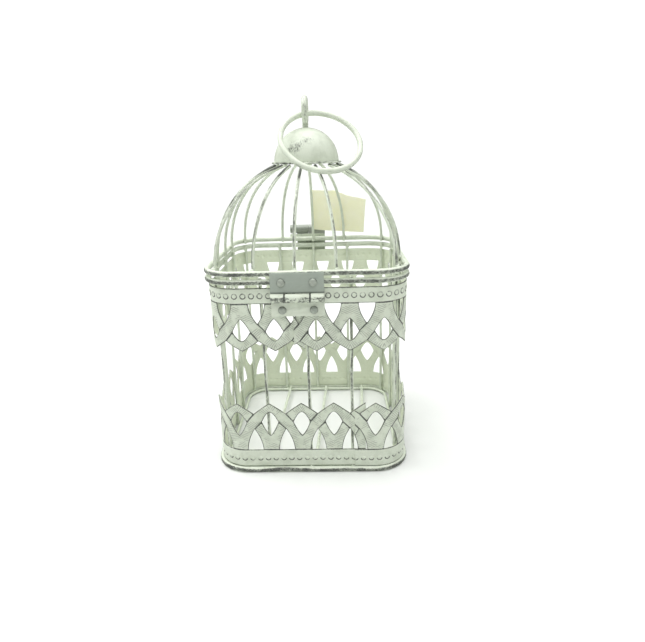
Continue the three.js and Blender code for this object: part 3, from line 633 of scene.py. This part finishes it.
def tile_outlines(band, pitch):
    """Window edges between one peak, at x = 0, and the next, at x = pitch."""
    mid = pitch / 2
    w = (pitch - WEB_WIDTH) / 2
    d = DIAMOND_WIDTH / 2
    waist = waist_height(band)
    fall = band["peak"] - band["valley"]
    pointed_side = curve((mid + w, 0), (mid + w * 0.95, band["pointed"] / 2), (mid, band["pointed"]), 14)
    pointed = pointed_side + mirrored(pointed_side, mid)[1:]
    lower = curve((0, band["foot"]), (d * 0.45, band["foot"] + 2), (d, waist), 10)
    upper = curve((d, waist), (d * 0.4, band["top"]), (0, band["top"]), 10)
    diamond = lower + upper[1:]
    bend = (mid * 0.45, band["valley"] + fall * 0.6)
    notch_side = curve((0, band["peak"]), bend, (mid, band["valley"]), 12)
    notch = notch_side + mirrored(notch_side, mid)[1:]
    return dict(pointed=pointed, diamond=diamond, next_diamond=mirrored(diamond, mid), notch=notch)


def crossing_lines(band, pitch, first_is_over):
    """Where the edges of the arch that lies over its neighbour cross that neighbour."""
    mid, d = pitch / 2, DIAMOND_WIDTH / 2
    waist = waist_height(band)
    lines = [
        straight((mid, band["valley"]), (pitch - d, waist)),
        straight((d, waist), (mid, band["pointed"])),
    ]
    return lines if first_is_over else [mirrored(line, mid) for line in lines]


def inside(polygon, x, y):
    within = False
    for (ax, ay), (bx, by) in zip(polygon, polygon[1:] + polygon[:1]):
        if (ay > y) != (by > y) and x < ax + (bx - ax) * (y - ay) / (by - ay):
            within = not within
    return within


def segments_of(lines):
    """All the lines' segments as an array of start and end points."""
    return np.array([(a, b) for line in lines for a, b in zip(line, line[1:])])


def distance_to(segments, points):
    """Distance of each point from the nearest segment."""
    start, end = segments[:, 0], segments[:, 1]
    along = end - start
    apart = points[:, None, :] - start[None]
    share = (apart * along).sum(2) / np.maximum((along * along).sum(1), 1e-9)
    foot = start[None] + np.clip(share, 0, 1)[..., None] * along[None]
    return np.linalg.norm(points[:, None, :] - foot, axis=2)


def dot_places(band, pitch):
    step = pitch / DOTS_PER_ARCH
    return [((i + 0.5) * step, -band["strip"] / 2) for i in range(DOTS_PER_ARCH)]


def tile_points(band, pitch, lines, dots):
    """Extra points inside a tile: a grid, with rings of points round the dots."""
    segments = segments_of(lines)
    columns = round(pitch / BAND_GRID)
    rows = round((band["strip"] + band["peak"]) / BAND_GRID)
    grid = [
        ((i + 0.5) * pitch / columns, -band["strip"] + (j + 0.5) * (band["strip"] + band["peak"]) / rows)
        for i in range(columns)
        for j in range(rows)
    ]
    grid = [p for p in grid if all(math.dist(p, d) > 2.3 for d in dots)]
    for x, y in dots:
        grid.append((x, y))
        for radius, count in ((0.55, 6), (1.1, 11), (1.5, 15), (2.0, 18)):
            turn = [2 * math.pi * k / count for k in range(count)]
            grid += [(x + radius * math.cos(t), y + radius * math.sin(t)) for t in turn]
    points = np.array(grid)
    clear = distance_to(segments, points).min(1) > 0.4 * BAND_GRID
    return [tuple(p) for p in points[clear]]


def tile_mesh(band, pitch, first_is_over):
    """Flat triangles of one tile, and the lines that its grooves follow."""
    outlines = tile_outlines(band, pitch)
    left = [straight((0, -band["strip"]), (0, 0)), straight((0, 0), (0, band["foot"])),
            straight((0, band["top"]), (0, band["peak"]))]
    right = [[(pitch, y) for _, y in line] for line in left]
    low = straight((0, -band["strip"]), (pitch, -band["strip"]))
    spring = straight((0, 0), (pitch, 0))
    grooves = [*outlines.values(), spring, low, *crossing_lines(band, pitch, first_is_over)]
    lines = [*grooves, *left, *right]
    points, edges = [], []
    for line in lines:
        edges += [(len(points) + i, len(points) + i + 1) for i in range(len(line) - 1)]
        points += line
    points += tile_points(band, pitch, lines, dot_places(band, pitch))
    made = geometry.delaunay_2d_cdt([Vector(p) for p in points], edges, [], 0, 1e-4)
    corners, faces = made[0], made[2]
    ends = [(pitch, band["peak"] + 1), (0, band["peak"] + 1)]
    holes = [
        outlines["pointed"],
        outlines["diamond"],
        outlines["next_diamond"],
        outlines["notch"] + ends,
    ]
    kept = []
    for face in faces:
        x = sum(corners[i].x for i in face) / 3
        y = sum(corners[i].y for i in face) / 3
        if not any(inside(hole, x, y) for hole in holes):
            kept.append(face)
    return corners, kept, segments_of(grooves)


def arch_middle(band, pitch):
    """The middle line of the arch whose peak is at x = 0, going down to the right."""
    outlines = tile_outlines(band, pitch)
    mid = pitch / 2
    notch = outlines["notch"][: len(outlines["notch"]) // 2 + 1]
    outer = notch + mirrored(outlines["diamond"][:11], mid)
    inner = list(reversed(outlines["diamond"][10:])) + list(
        reversed(outlines["pointed"][: len(outlines["pointed"]) // 2 + 1]))
    return (spread_evenly(outer, 40) + spread_evenly(inner, 40)) / 2


def spread_evenly(line, count):
    points = np.array(line)
    lengths = np.r_[0, np.cumsum(np.linalg.norm(np.diff(points, axis=0), axis=1))]
    at = np.linspace(0, lengths[-1], count)
    return np.stack([np.interp(at, lengths, points[:, i]) for i in (0, 1)], axis=1)


def along_arches(band, pitch, local, first_is_over):
    """How far each point lies along the arch that shows at it, from that arch's peak."""
    middle = arch_middle(band, pitch)
    lengths = np.r_[0, np.cumsum(np.linalg.norm(np.diff(middle, axis=0), axis=1))]
    found = []
    for flip in (False, True):
        points = local * [-1, 1] + [pitch, 0] if flip else local
        segments = np.stack([middle[:-1], middle[1:]], axis=1)
        apart = distance_to(segments, points)
        nearest = apart.argmin(1)
        step = middle[nearest + 1] - middle[nearest]
        share = ((points - middle[nearest]) * step).sum(1) / (step * step).sum(1)
        found.append((apart.min(1), lengths[nearest] + share * np.linalg.norm(step, axis=1)))
    (near_a, along_a), (near_b, along_b) = found
    both = (near_a < ARCH_WIDTH) & (near_b < ARCH_WIDTH)
    over = np.asarray(first_is_over)
    use_a = np.where(both, over, near_a < near_b)
    return np.where(use_a, along_a, along_b)


def flat_band(band, pitch, arches, length):
    """The whole unrolled band: its tiles side by side, trimmed to its two ends."""
    bm = bmesh.new()
    tiles = [tile_mesh(band, pitch, over) for over in (False, True)]
    for k in range(-1, arches + 2):
        corners, faces, _ = tiles[k % 2]
        left = band["first"] + k * pitch
        verts = [bm.verts.new((left + c.x, c.y, 0)) for c in corners]
        for face in faces:
            bm.faces.new([verts[i] for i in face])
    bmesh.ops.remove_doubles(bm, verts=bm.verts, dist=1e-3)
    for at, keep in ((0.0, 1), (length, -1)):
        whole = [*bm.verts, *bm.edges, *bm.faces]
        bmesh.ops.bisect_plane(bm, geom=whole, dist=1e-4, plane_co=(at, 0, 0),
                               plane_no=(keep, 0, 0), clear_inner=True)
    loose = [v for v in bm.verts if not v.link_faces]
    bmesh.ops.delete(bm, geom=loose, context="VERTS")
    bm.verts.index_update()
    flat = np.array([(v.co.x, v.co.y) for v in bm.verts])
    faces = [tuple(v.index for v in f.verts) for f in bm.faces]
    rim = [tuple(v.index for v in e.verts) for e in bm.edges if e.is_boundary]
    bm.free()
    return flat, faces, rim, [tile[2] for tile in tiles]


def band_facts(band, pitch, flat, grooves):
    """For each point: distance along its arch, to the nearest groove and to the nearest dot."""
    tile = np.floor((flat[:, 0] - band["first"]) / pitch)
    local = np.stack([flat[:, 0] - band["first"] - tile * pitch, flat[:, 1]], axis=1)
    first_is_over = tile % 2 == 1
    line = np.where(first_is_over, distance_to(grooves[1], local).min(1),
                    distance_to(grooves[0], local).min(1))
    dots = np.array(dot_places(band, pitch))
    dot = np.linalg.norm(local[:, None, :] - dots[None], axis=2).min(1)
    along = along_arches(band, pitch, local, first_is_over)
    return along, line, dot


def lattice_band(node, band, material):
    """A stamped band as thin sheet with raised dots and grooves, wound round the bars."""
    up = band["up"]
    lower_edge = min(band["edge"], band["edge"] + up * (band["strip"] + band["peak"]))
    bar_half = BAR_FOOT_HALF + (BAR_TOP_HALF - BAR_FOOT_HALF) * lower_edge / WALL_HEIGHT
    half = bar_half + BAR_WIRE / 2 + WELD_GAP + SHEET / 2
    length = 4 * wall_quarter(half) + band["lap"]
    run = length + band["past"] - band["first"]
    arches = round(run / ARCH_PITCH)
    pitch = run / arches
    flat, faces, rim, grooves = flat_band(band, pitch, arches, length)
    along, line, dot = band_facts(band, pitch, flat, grooves)
    groove = -GROOVE_DEPTH * np.clip(1 - line / GROOVE_WIDTH, 0, 1) ** 2
    dome = DOT_HEIGHT * np.clip(1 - (dot / DOT_RADIUS) ** 2, 0, 1)
    points = []
    for face_out, relief in ((SHEET / 2, groove + dome), (-SHEET / 2, dome)):
        for (u, v), raised in zip(flat, relief):
            at, normal = wall_place(band["seam"] + u, half)
            layer = (SHEET + BAND_LAP_GAP) * (1 - u / length)
            spot = at + normal * (face_out + raised + layer)
            points.append((spot.x, spot.y, band["edge"] + up * (band["strip"] + v)))
    n = len(flat)
    quads = [(a, b, b + n, a + n) for a, b in rim]
    back = [tuple(i + n for i in reversed(f)) for f in faces]
    obj = mesh_object(node + "_stamped", points, faces + back + quads, material, 45)
    face_outwards(obj)
    store(obj, "lattice", np.tile(np.stack([along, line, dot], axis=1), (2, 1)))
    front = np.r_[np.ones(n), np.zeros(n)]
    store(obj, "plan", np.column_stack([np.tile(flat, (2, 1)), front]))
    return stand_in(obj, node)


# ---- Wires ----


def rim_wire(node, material, wire):
    """A rim or ring that follows the rounded square."""
    low, high = box_mm(node)
    half = high.x - wire / 2
    level = (low.z + high.z) / 2
    count = 320
    step = 4 * wall_quarter(half) / count
    places = [wall_place(i * step, half) for i in range(count)]
    path = [at + Vector((0, 0, level)) for at, _ in places]
    obj = tube(node + "_wire", path, lambda i: places[i][1], wire, material, closed=True, sides=24)
    return stand_in(obj, node)


def cad_ends(node):
    """Middles of the lower and upper end of a straight CAD bar, in millimetres."""
    points = cad_points(node)
    middle = (points[:, 2].min() + points[:, 2].max()) / 2
    return [Vector(points[part].mean(0)) for part in (points[:, 2] < middle, points[:, 2] >= middle)]


def bar_wire(i, material):
    """An upright bar, never quite straight."""
    node = f"bar_{i:02d}"
    foot, top = cad_ends(node)
    outward = Vector((foot.x, foot.y, 0)).normalized()
    side = outward.cross(Vector((0, 0, 1)))
    path = []
    for k in range(61):
        share = k / 60
        bow = 0.28 * math.sin(math.pi * share)
        at = foot.lerp(top, share)
        sway = side * lump((i * 7.3, 0, at.z), 42) * 1.4
        path.append(at + (sway + outward * min(0, lump((0, i * 5.1, at.z), 50))) * bow)
    obj = tube(node + "_wire", path, lambda k: outward, BAR_WIRE, material)
    return stand_in(obj, node)


def rib_foot(node):
    """Middle of the lower end of a CAD rib, in millimetres."""
    points = cad_points(node)
    return Vector(points[points[:, 2] < points[:, 2].min() + 0.05].mean(0))


def rib_wire(i, material):
    """A rib of the dome: upright at the lid rim, then a quarter of an ellipse to the crown."""
    node = f"rib_{i:02d}"
    foot = rib_foot(node)
    rim_top = box_mm("lid_rim")[1].z
    crown = box_mm("crown_plate")[0].z - RIB_WIRE / 2 - 0.15
    reach = math.hypot(foot.x, foot.y)
    rise = (crown - rim_top) / math.sqrt(1 - (RIB_END_RADIUS / reach) ** 2)
    last = math.acos(RIB_END_RADIUS / reach)
    path = [foot, foot.lerp(Vector((foot.x, foot.y, rim_top)), 0.5)]
    for k in range(57):
        angle = last * k / 56
        share = math.cos(angle)
        path.append(Vector((foot.x * share, foot.y * share, rim_top + rise * math.sin(angle))))
    outward = Vector((foot.x, foot.y, 0)).normalized()
    up = Vector((0, 0, 1))
    blend = [min(1, max(0, (p.z - rim_top) / rise)) for p in path]
    obj = tube(node + "_wire", path, lambda k: outward + up * 2 * blend[k], RIB_WIRE, material)
    return stand_in(obj, node)


def floor_wire(i, material):
    node = f"floor_wire_{i}"
    points = cad_points(node)
    front, back = (Vector(points[part].mean(0)) for part in (points[:, 1] < 0, points[:, 1] > 0))
    path = [front.lerp(back, k / 48) for k in range(49)]
    low, high = box_mm(node)
    obj = tube(node + "_wire", path, lambda k: Vector((0, 0, 1)), high.z - low.z, material)
    return stand_in(obj, node)


def weld_beads(name, like, places, material):
    """Small rough lumps of weld, painted over, at these places; they ride with the node like."""
    bm = bmesh.new()
    for place in places:
        radius = WELD_BEAD * (1 + 0.25 * lump(place, 9))
        for vertex in bmesh.ops.create_icosphere(bm, subdivisions=3, radius=radius)["verts"]:
            rough = 1 + 0.45 * lump(place + vertex.co, 1.1)
            vertex.co = (place + vertex.co * rough) * MM
    mesh = bpy.data.meshes.new(name)
    bm.to_mesh(mesh)
    bm.free()
    mesh.shade_smooth()
    mesh.materials.append(material)
    obj = linked(name, mesh)
    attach(obj, body_of_node[like])


def weld_place(end, wire, level):
    """Where a wire that ends at `end` touches the ring outside it, at a height."""
    outward = Vector((end.x, end.y, 0)).normalized()
    return Vector((end.x, end.y, level)) + outward * wire / 2


def cage_welds(material):
    foot_level = box_mm("base_ring")[1].z - 0.9
    top_level = box_mm("body_rim")[0].z + 0.6
    places = []
    for i in range(1, 17):
        foot, top = cad_ends(f"bar_{i:02d}")
        places.append(weld_place(foot, BAR_WIRE, foot_level))
        places.append(weld_place(top, BAR_WIRE, top_level))
    weld_beads("cage_welds", "bar_01", places, material)


def lid_welds(material):
    level = box_mm("lid_rim")[1].z - 0.5
    places = [weld_place(rib_foot(f"rib_{i:02d}"), RIB_WIRE, level) for i in range(1, 17)]
    weld_beads("lid_welds", "rib_01", places, material)


# ---- Crown, cap, eye and ring ----


def arc(centre, radius, start, end, steps):
    """Points of (height, radius) on a circle round centre, between two angles in degrees."""
    turn = [math.radians(start + (end - start) * k / steps) for k in range(steps + 1)]
    return [(centre[0] + radius * math.sin(t), centre[1] + radius * math.cos(t)) for t in turn]


def cap_dome(material):
    """The pressed cap: half a ball of sheet with shallow dents."""
    low, high = box_mm("cap")
    radius = high.x
    outer = arc((0, 0), radius, 0, math.degrees(math.acos(STEM_HOLE / radius)), 40)
    inside_radius = radius - CAP_SHEET
    inner = arc((0, 0), inside_radius, math.degrees(math.acos(STEM_HOLE / inside_radius)), 0, 40)
    obj = turned("cap_dome", outer + inner, (0, 0, 1), Vector((0, 0, low.z)), material, 96)
    for vertex in obj.data.vertices:
        at = vertex.co / MM
        out = Vector((at.x, at.y, at.z - low.z)).normalized()
        dent = 0.16 * (lump(at, 9) - 0.6)
        vertex.co += out * dent * MM * min(1, (at.z - low.z) / 3)
    return stand_in(obj, "cap")


def crown_disc(material):
    """The crown plate: a disc with a rounded rim that is nicked all round."""
    low, high = box_mm("crown_plate")
    radius, thick = high.x, high.z - low.z
    edge = arc((thick / 2, radius - thick / 2), thick / 2, -90, 90, 8)
    profile = [(0, STEM_HOLE), *edge, (thick, STEM_HOLE)]
    obj = turned("crown_plate_disc", profile, (0, 0, 1), Vector((0, 0, low.z)), material, 120)
    for vertex in obj.data.vertices:
        at = vertex.co / MM
        reach = math.hypot(at.x, at.y)
        notch = max(0, reach - 20.5) / 2.5
        out = Vector((at.x, at.y, 0)).normalized()
        vertex.co -= out * MM * notch * 0.5 * abs(lump(at, 3.5))
    return stand_in(obj, "crown_plate")


def hanging_eye(material):
    """A ring of wire edge-on to the front, its stem and the stem's collars."""
    low, high = box_mm("hanging_eye")
    radius = high.y - EYE_WIRE / 2
    centre = high.z - high.y
    path = []
    for k in range(96):
        turn = 2 * math.pi * k / 96
        path.append(Vector((0, radius * math.sin(turn), centre - radius * math.cos(turn))))
    middle = Vector((0, 0, centre))
    loop = tube("hanging_eye_loop", path, lambda i: path[i] - middle, EYE_WIRE, material,
                closed=True, sides=28)
    stand_in(loop, "hanging_eye")
    stem_radius = EYE_WIRE / 2
    neck = centre - radius
    head = high.x
    profile = [
        (low.z, 0.01), *[(low.z + 0.4 - 0.4 * math.cos(a), head - 0.4 + 0.4 * math.sin(a)) for a in
                         (0.0, 0.5, 1.0, 1.5)],
        (low.z + 1.4, head), (low.z + 1.45, stem_radius),
        (neck - 3.6, stem_radius), (neck - 1.6, stem_radius * 1.04), (neck, stem_radius * 0.9),
        (neck + 0.2, 0.01),
    ]
    stem = turned("hanging_eye_stem", profile, (0, 0, 1), Vector((0, 0, 0)), material, 48)
    facts = [(v.co.z / MM, v.co.x / MM / stem_radius, v.co.y / MM / stem_radius)
             for v in stem.data.vertices]
    store(stem, "wire", facts)
    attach(stem, "lid")


def hanging_ring(material):
    """The ring, on the CAD ring's own circle, closed by a butt joint at its back."""
    points = cad_points("hanging_ring")
    centre = points.mean(0)
    spread = np.linalg.svd(points - centre, full_matrices=False)[2]
    normal = Vector(spread[2])
    if normal.z < 0:
        normal = -normal
    # The CAD ring's corners lie a little outside the wire's own circle.
    mean_square = float((np.linalg.norm(points - centre, axis=1) ** 2).mean())
    radius = math.sqrt(mean_square - (RING_WIRE / 2) ** 2 * 1.1)
    centre = Vector(centre)
    first = Vector((0, 0, 1)).cross(normal).normalized()
    second = normal.cross(first)
    count = 220
    path = []
    for k in range(count):
        turn = 2 * math.pi * k / count
        gap = 0.05 if k == 0 else 0
        path.append(centre + (first * math.cos(turn) + second * math.sin(turn)) * (radius - gap))
    obj = tube("hanging_ring_wire", path, lambda i: path[i] - centre - normal * 12, RING_WIRE,
               material, closed=True, sides=28)
    return stand_in(obj, "hanging_ring")


# ---- Hinge, hasp and tag ----


def softened(node, material, bevel=0.12):
    """A CAD node whose shape is right: its edges are eased and it gets a better material."""
    obj = frame["nodes"][node]
    obj.data.materials.clear()
    obj.data.materials.append(material)
    weld = obj.modifiers.new("weld", "WELD")
    weld.merge_threshold = 0.01 * MM
    ease = obj.modifiers.new("ease", "BEVEL")
    ease.width = bevel * MM
    ease.segments = 2
    ease.limit_method = "ANGLE"
    ease.angle_limit = math.radians(35)
    obj.data.shade_smooth()
    obj.data.set_sharp_from_angle(angle=math.radians(35))
    return obj


def rivet(node, material):
    """A domed rivet head with a flattened top that faces -Y, and the shank behind it."""
    low, high = box_mm(node)
    centre = Vector(((low.x + high.x) / 2, low.y, (low.z + high.z) / 2))
    radius = (high.x - low.x) / 2 * 0.99
    depth = high.y - low.y
    height = RIVET_HEAD_HEIGHT
    dome = [(0.05, 0.01), (0.08, radius * 0.30), (0.24, radius * 0.62), (0.52, radius * 0.85),
            (0.95, radius * 0.98), (height - 0.08, radius), (height, radius * 0.96)]
    shank = [(height, 1.0), (depth, 1.0), (depth, 0.01)]
    obj = turned(node + "_head", dome + shank, (0, 1, 0), centre, material, 48)
    for vertex in obj.data.vertices:
        at = vertex.co / MM
        vertex.co += Vector((lump(at, 1.7), 0, lump(at + centre, 1.9))) * 0.05 * MM
    return stand_in(obj, node)


def staple_wire(material):
    low, high = box_mm("hasp_staple")
    middle = (low.x + high.x) / 2
    spread = (high.x - low.x - STAPLE_WIRE) / 2
    bend = high.y - STAPLE_WIRE / 2 - spread
    level = (low.z + high.z) / 2
    path = [Vector((middle - spread, low.y + (bend - low.y) * k / 10, level)) for k in range(10)]
    for k in range(33):
        turn = math.pi * k / 32
        path.append(Vector((middle - spread * math.cos(turn), bend + spread * math.sin(turn), level)))
    path += [Vector((middle + spread, bend + (low.y - bend) * k / 10, level)) for k in range(1, 11)]
    up = Vector((0, 0, 1))
    obj = tube("hasp_staple_wire", path, lambda i: up, STAPLE_WIRE, material, sides=18)
    return stand_in(obj, "hasp_staple")


def paper_tag(material):
    """The blank tag: thin paper with one fold and a gentle curl."""
    outline = []
    for a, b in zip(TAG_OUTLINE, TAG_OUTLINE[1:] + TAG_OUTLINE[:1]):
        outline += straight(a, b, 1.2)[:-1]
    edges = [(i, (i + 1) % len(outline)) for i in range(len(outline))]
    grid = [(0.7 + 1.3 * i, 0.7 + 1.3 * j) for i in range(32) for j in range(27)]
    border = segments_of([[*outline, outline[0]]])
    clear = distance_to(border, np.array(grid)).min(1) > 0.5
    grid = [p for p, far in zip(grid, clear) if far and inside(TAG_OUTLINE, *p)]
    made = geometry.delaunay_2d_cdt([Vector(p) for p in outline + grid], edges, [], 0, 1e-4)
    corners = made[0]
    faces = [f for f in made[2]
             if inside(TAG_OUTLINE, sum(corners[i].x for i in f) / 3, sum(corners[i].y for i in f) / 3)]
    up = Vector((0, -math.sin(TAG_LEAN), math.cos(TAG_LEAN)))
    out = Vector((0, math.cos(TAG_LEAN), math.sin(TAG_LEAN)))
    points = []
    for side in (0.0, TAG_SHEET):
        for c in corners:
            past = max(0, c.x - TAG_CREASE) / (TAG_OUTLINE[4][0] - TAG_CREASE)
            ridge = math.exp(-(((c.x - TAG_CREASE) / 2.2) ** 2))
            lift = TAG_FOLD * past - 0.4 * math.sin(math.pi * min(1, c.x / TAG_CREASE))
            lift += 0.9 * ridge + 0.12 * lump((c.x, c.y, 3), 9)
            points.append(TAG_FOOT + Vector((c.x, 0, 0)) + up * c.y + out * (side + lift * 0.8))
    n = len(corners)
    edge_use = {}
    for face in faces:
        for a, b in zip(face, face[1:] + face[:1]):
            edge_use.setdefault(frozenset((a, b)), []).append((a, b))
    walls = [(a, b, b + n, a + n) for uses in edge_use.values() if len(uses) == 1 for a, b in uses]
    back = [tuple(i + n for i in reversed(f)) for f in faces]
    obj = mesh_object("paper_tag_sheet", points, [tuple(f) for f in faces] + back + walls, material, 25)
    face_outwards(obj)
    return stand_in(obj, "paper_tag")


# ---- Build ----


def build_cage():
    rim = wire_paint("rim_paint", 0.62, 0.25, 60.0)
    bar = wire_paint("bar_paint", 0.50)
    floor_paint = wire_paint("floor_wire_paint", 0.10)
    lower = lattice_paint("lower_lattice_paint", dot_level(LOWER_BAND), 0.15)
    upper = lattice_paint("upper_lattice_paint", dot_level(UPPER_BAND), 0.75)
    rim_wire("base_ring", wire_paint("base_ring_paint", 0.70, 0.5, 30.0), BASE_WIRE)
    rim_wire("body_rim", rim, RIM_WIRE)
    rim_wire("floor_ring", floor_paint, FLOOR_WIRE)
    for i in range(1, 17):
        bar_wire(i, bar)
    for i in range(1, 4):
        floor_wire(i, floor_paint)
    cage_welds(plate_paint("cage_weld_paint", 0.25))
    lattice_band("lower_lattice_band", LOWER_BAND, lower)
    lattice_band("upper_lattice_band", UPPER_BAND, upper)


def build_lid():
    rim_wire("lid_rim", wire_paint("lid_rim_paint", 0.62, 0.25, 60.0), RIM_WIRE)
    rib = wire_paint("rib_paint", 0.42, 1.0, 24.0, worn_above=box_mm("crown_plate")[0].z - 3.65)
    for i in range(1, 17):
        rib_wire(i, rib)
    lid_welds(plate_paint("lid_weld_paint", 0.25))
    cap_dome(cap_paint())
    crown_disc(plate_paint("crown_paint", 0.20, box_mm("crown_plate")[1].x - 0.7))
    hanging_eye(wire_paint("eye_paint", 0.15))
    hanging_ring(wire_paint("ring_paint", 0.18, 0.6, 45.0))
    paper_tag(tag_paper())


def build_hardware():
    steel_sheet = ((0.31, 0.355, 0.305), (0.40, 0.45, 0.39))
    middle = (box_mm("hinge_pin")[0].x + box_mm("hinge_pin")[1].x) / 2
    joints = (middle - MIDDLE_KNUCKLE / 2, middle + MIDDLE_KNUCKLE / 2)
    upper = leaf_paint("upper_leaf_steel", UPPER_BARREL_FROM, joints, steel_sheet)
    lower = leaf_paint("lower_leaf_paint", LOWER_BARREL_FROM, joints, None)
    barrel_foot = box_mm("hasp_bracket")[1].z - HASP_BARREL
    dull = steel("hasp_steel", (0.38, 0.41, 0.36), (0.22, 0.24, 0.21), 0.12, barrel_foot)
    head = steel("rivet_steel", (0.42, 0.46, 0.40), (0.27, 0.30, 0.26), 1.0)
    softened("hinge_upper_leaf", upper)
    softened("hinge_pin", head)
    softened("hinge_lower_leaf", lower)
    upper_head = rivet_finish("upper_rivet_steel", box_mm("hinge_upper_rivet_1")[0].y)
    lower_head = rivet_finish("lower_rivet_steel", box_mm("hinge_lower_rivet_1")[0].y)
    for i in (1, 2):
        rivet(f"hinge_upper_rivet_{i}", upper_head)
        rivet(f"hinge_lower_rivet_{i}", lower_head)
    for node in ("hasp_bracket", "hasp_strap", "hasp_pin"):
        softened(node, dull)
    staple_wire(dull)


# ---- Floor, light and camera ----

SKY_LOW = 0.12
SKY_HIGH = 3.6
SKY_RISES = (0.42, 0.98)  # between these sines of its height the sky gets brighter
SKY_SEEN = 1.1
CAMERA_AT = Vector((19.345, -357.70, 202.23))
CAMERA_YAW = -0.0329
CAMERA_DOWN = 0.3199
CAMERA_ROLL = -0.0275
CAMERA_LENS = 28.97  # on a sensor 36 mm wide


def camera():
    forward = Vector((math.sin(CAMERA_YAW) * math.cos(CAMERA_DOWN),
                      math.cos(CAMERA_YAW) * math.cos(CAMERA_DOWN), -math.sin(CAMERA_DOWN)))
    level = Vector((math.cos(CAMERA_YAW), -math.sin(CAMERA_YAW), 0))
    up = level.cross(forward)
    right = level * math.cos(CAMERA_ROLL) + up * math.sin(CAMERA_ROLL)
    top = up * math.cos(CAMERA_ROLL) - level * math.sin(CAMERA_ROLL)
    data = bpy.data.cameras.new("camera")
    data.sensor_fit = "HORIZONTAL"
    data.sensor_width = 36.0
    data.lens = CAMERA_LENS
    data.clip_start = 0.01
    data.clip_end = 20.0
    obj = linked("camera", data)
    turn = Matrix((right, top, -forward)).transposed().to_4x4()
    obj.matrix_world = Matrix.Translation(CAMERA_AT * MM) @ turn
    bpy.context.scene.camera = obj


def soft_light(name, at, size, watts):
    """A square soft box that faces the middle of the object."""
    data = bpy.data.lights.new(name, "AREA")
    data.shape = "SQUARE"
    data.size = size
    data.energy = watts
    obj = linked(name, data)
    obj.location = at
    aim = Vector((0, 0, 0.1)) - Vector(at)
    obj.rotation_mode = "QUATERNION"
    obj.rotation_quaternion = aim.to_track_quat("-Z", "Y")


def studio():
    """White floor under a sky that is bright overhead and dim along the horizon.

    The sky itself is seen as plain white.
    """
    mesh = bpy.data.meshes.new("floor")
    reach = 30.0
    mesh.from_pydata([(-reach, -reach, 0), (reach, -reach, 0), (reach, reach, 0), (-reach, reach, 0)],
                     [], [(0, 1, 2, 3)])
    mesh.materials.append(floor_white())
    linked("floor", mesh)
    world = bpy.data.worlds.new("surround")
    bpy.context.scene.world = world
    world.use_nodes = True
    tree = world.node_tree
    tree.nodes.clear()
    coords = tree.nodes.new("ShaderNodeTexCoord")
    split = tree.nodes.new("ShaderNodeSeparateXYZ")
    bright = tree.nodes.new("ShaderNodeMapRange")
    bright.interpolation_type = "SMOOTHSTEP"
    bright.inputs["From Min"].default_value = SKY_RISES[0]
    bright.inputs["From Max"].default_value = SKY_RISES[1]
    bright.inputs["To Min"].default_value = SKY_LOW
    bright.inputs["To Max"].default_value = SKY_HIGH
    shining = tree.nodes.new("ShaderNodeBackground")
    seen = tree.nodes.new("ShaderNodeBackground")
    seen.inputs["Color"].default_value = (1, 1, 1, 1)
    seen.inputs["Strength"].default_value = SKY_SEEN
    path = tree.nodes.new("ShaderNodeLightPath")
    mix = tree.nodes.new("ShaderNodeMixShader")
    out = tree.nodes.new("ShaderNodeOutputWorld")
    tree.links.new(coords.outputs["Generated"], split.inputs[0])
    tree.links.new(split.outputs[2], bright.inputs["Value"])
    tree.links.new(bright.outputs[0], shining.inputs["Strength"])
    tree.links.new(path.outputs["Is Camera Ray"], mix.inputs[0])
    tree.links.new(shining.outputs[0], mix.inputs[1])
    tree.links.new(seen.outputs[0], mix.inputs[2])
    tree.links.new(mix.outputs[0], out.inputs["Surface"])
    soft_light("left_light", (-0.6, 0.1, 0.9), 0.6, 4)
    view = bpy.context.scene.view_settings
    view.view_transform = "Standard"
    view.look = "None"


camera()
build_cage()
build_lid()
build_hardware()
studio()
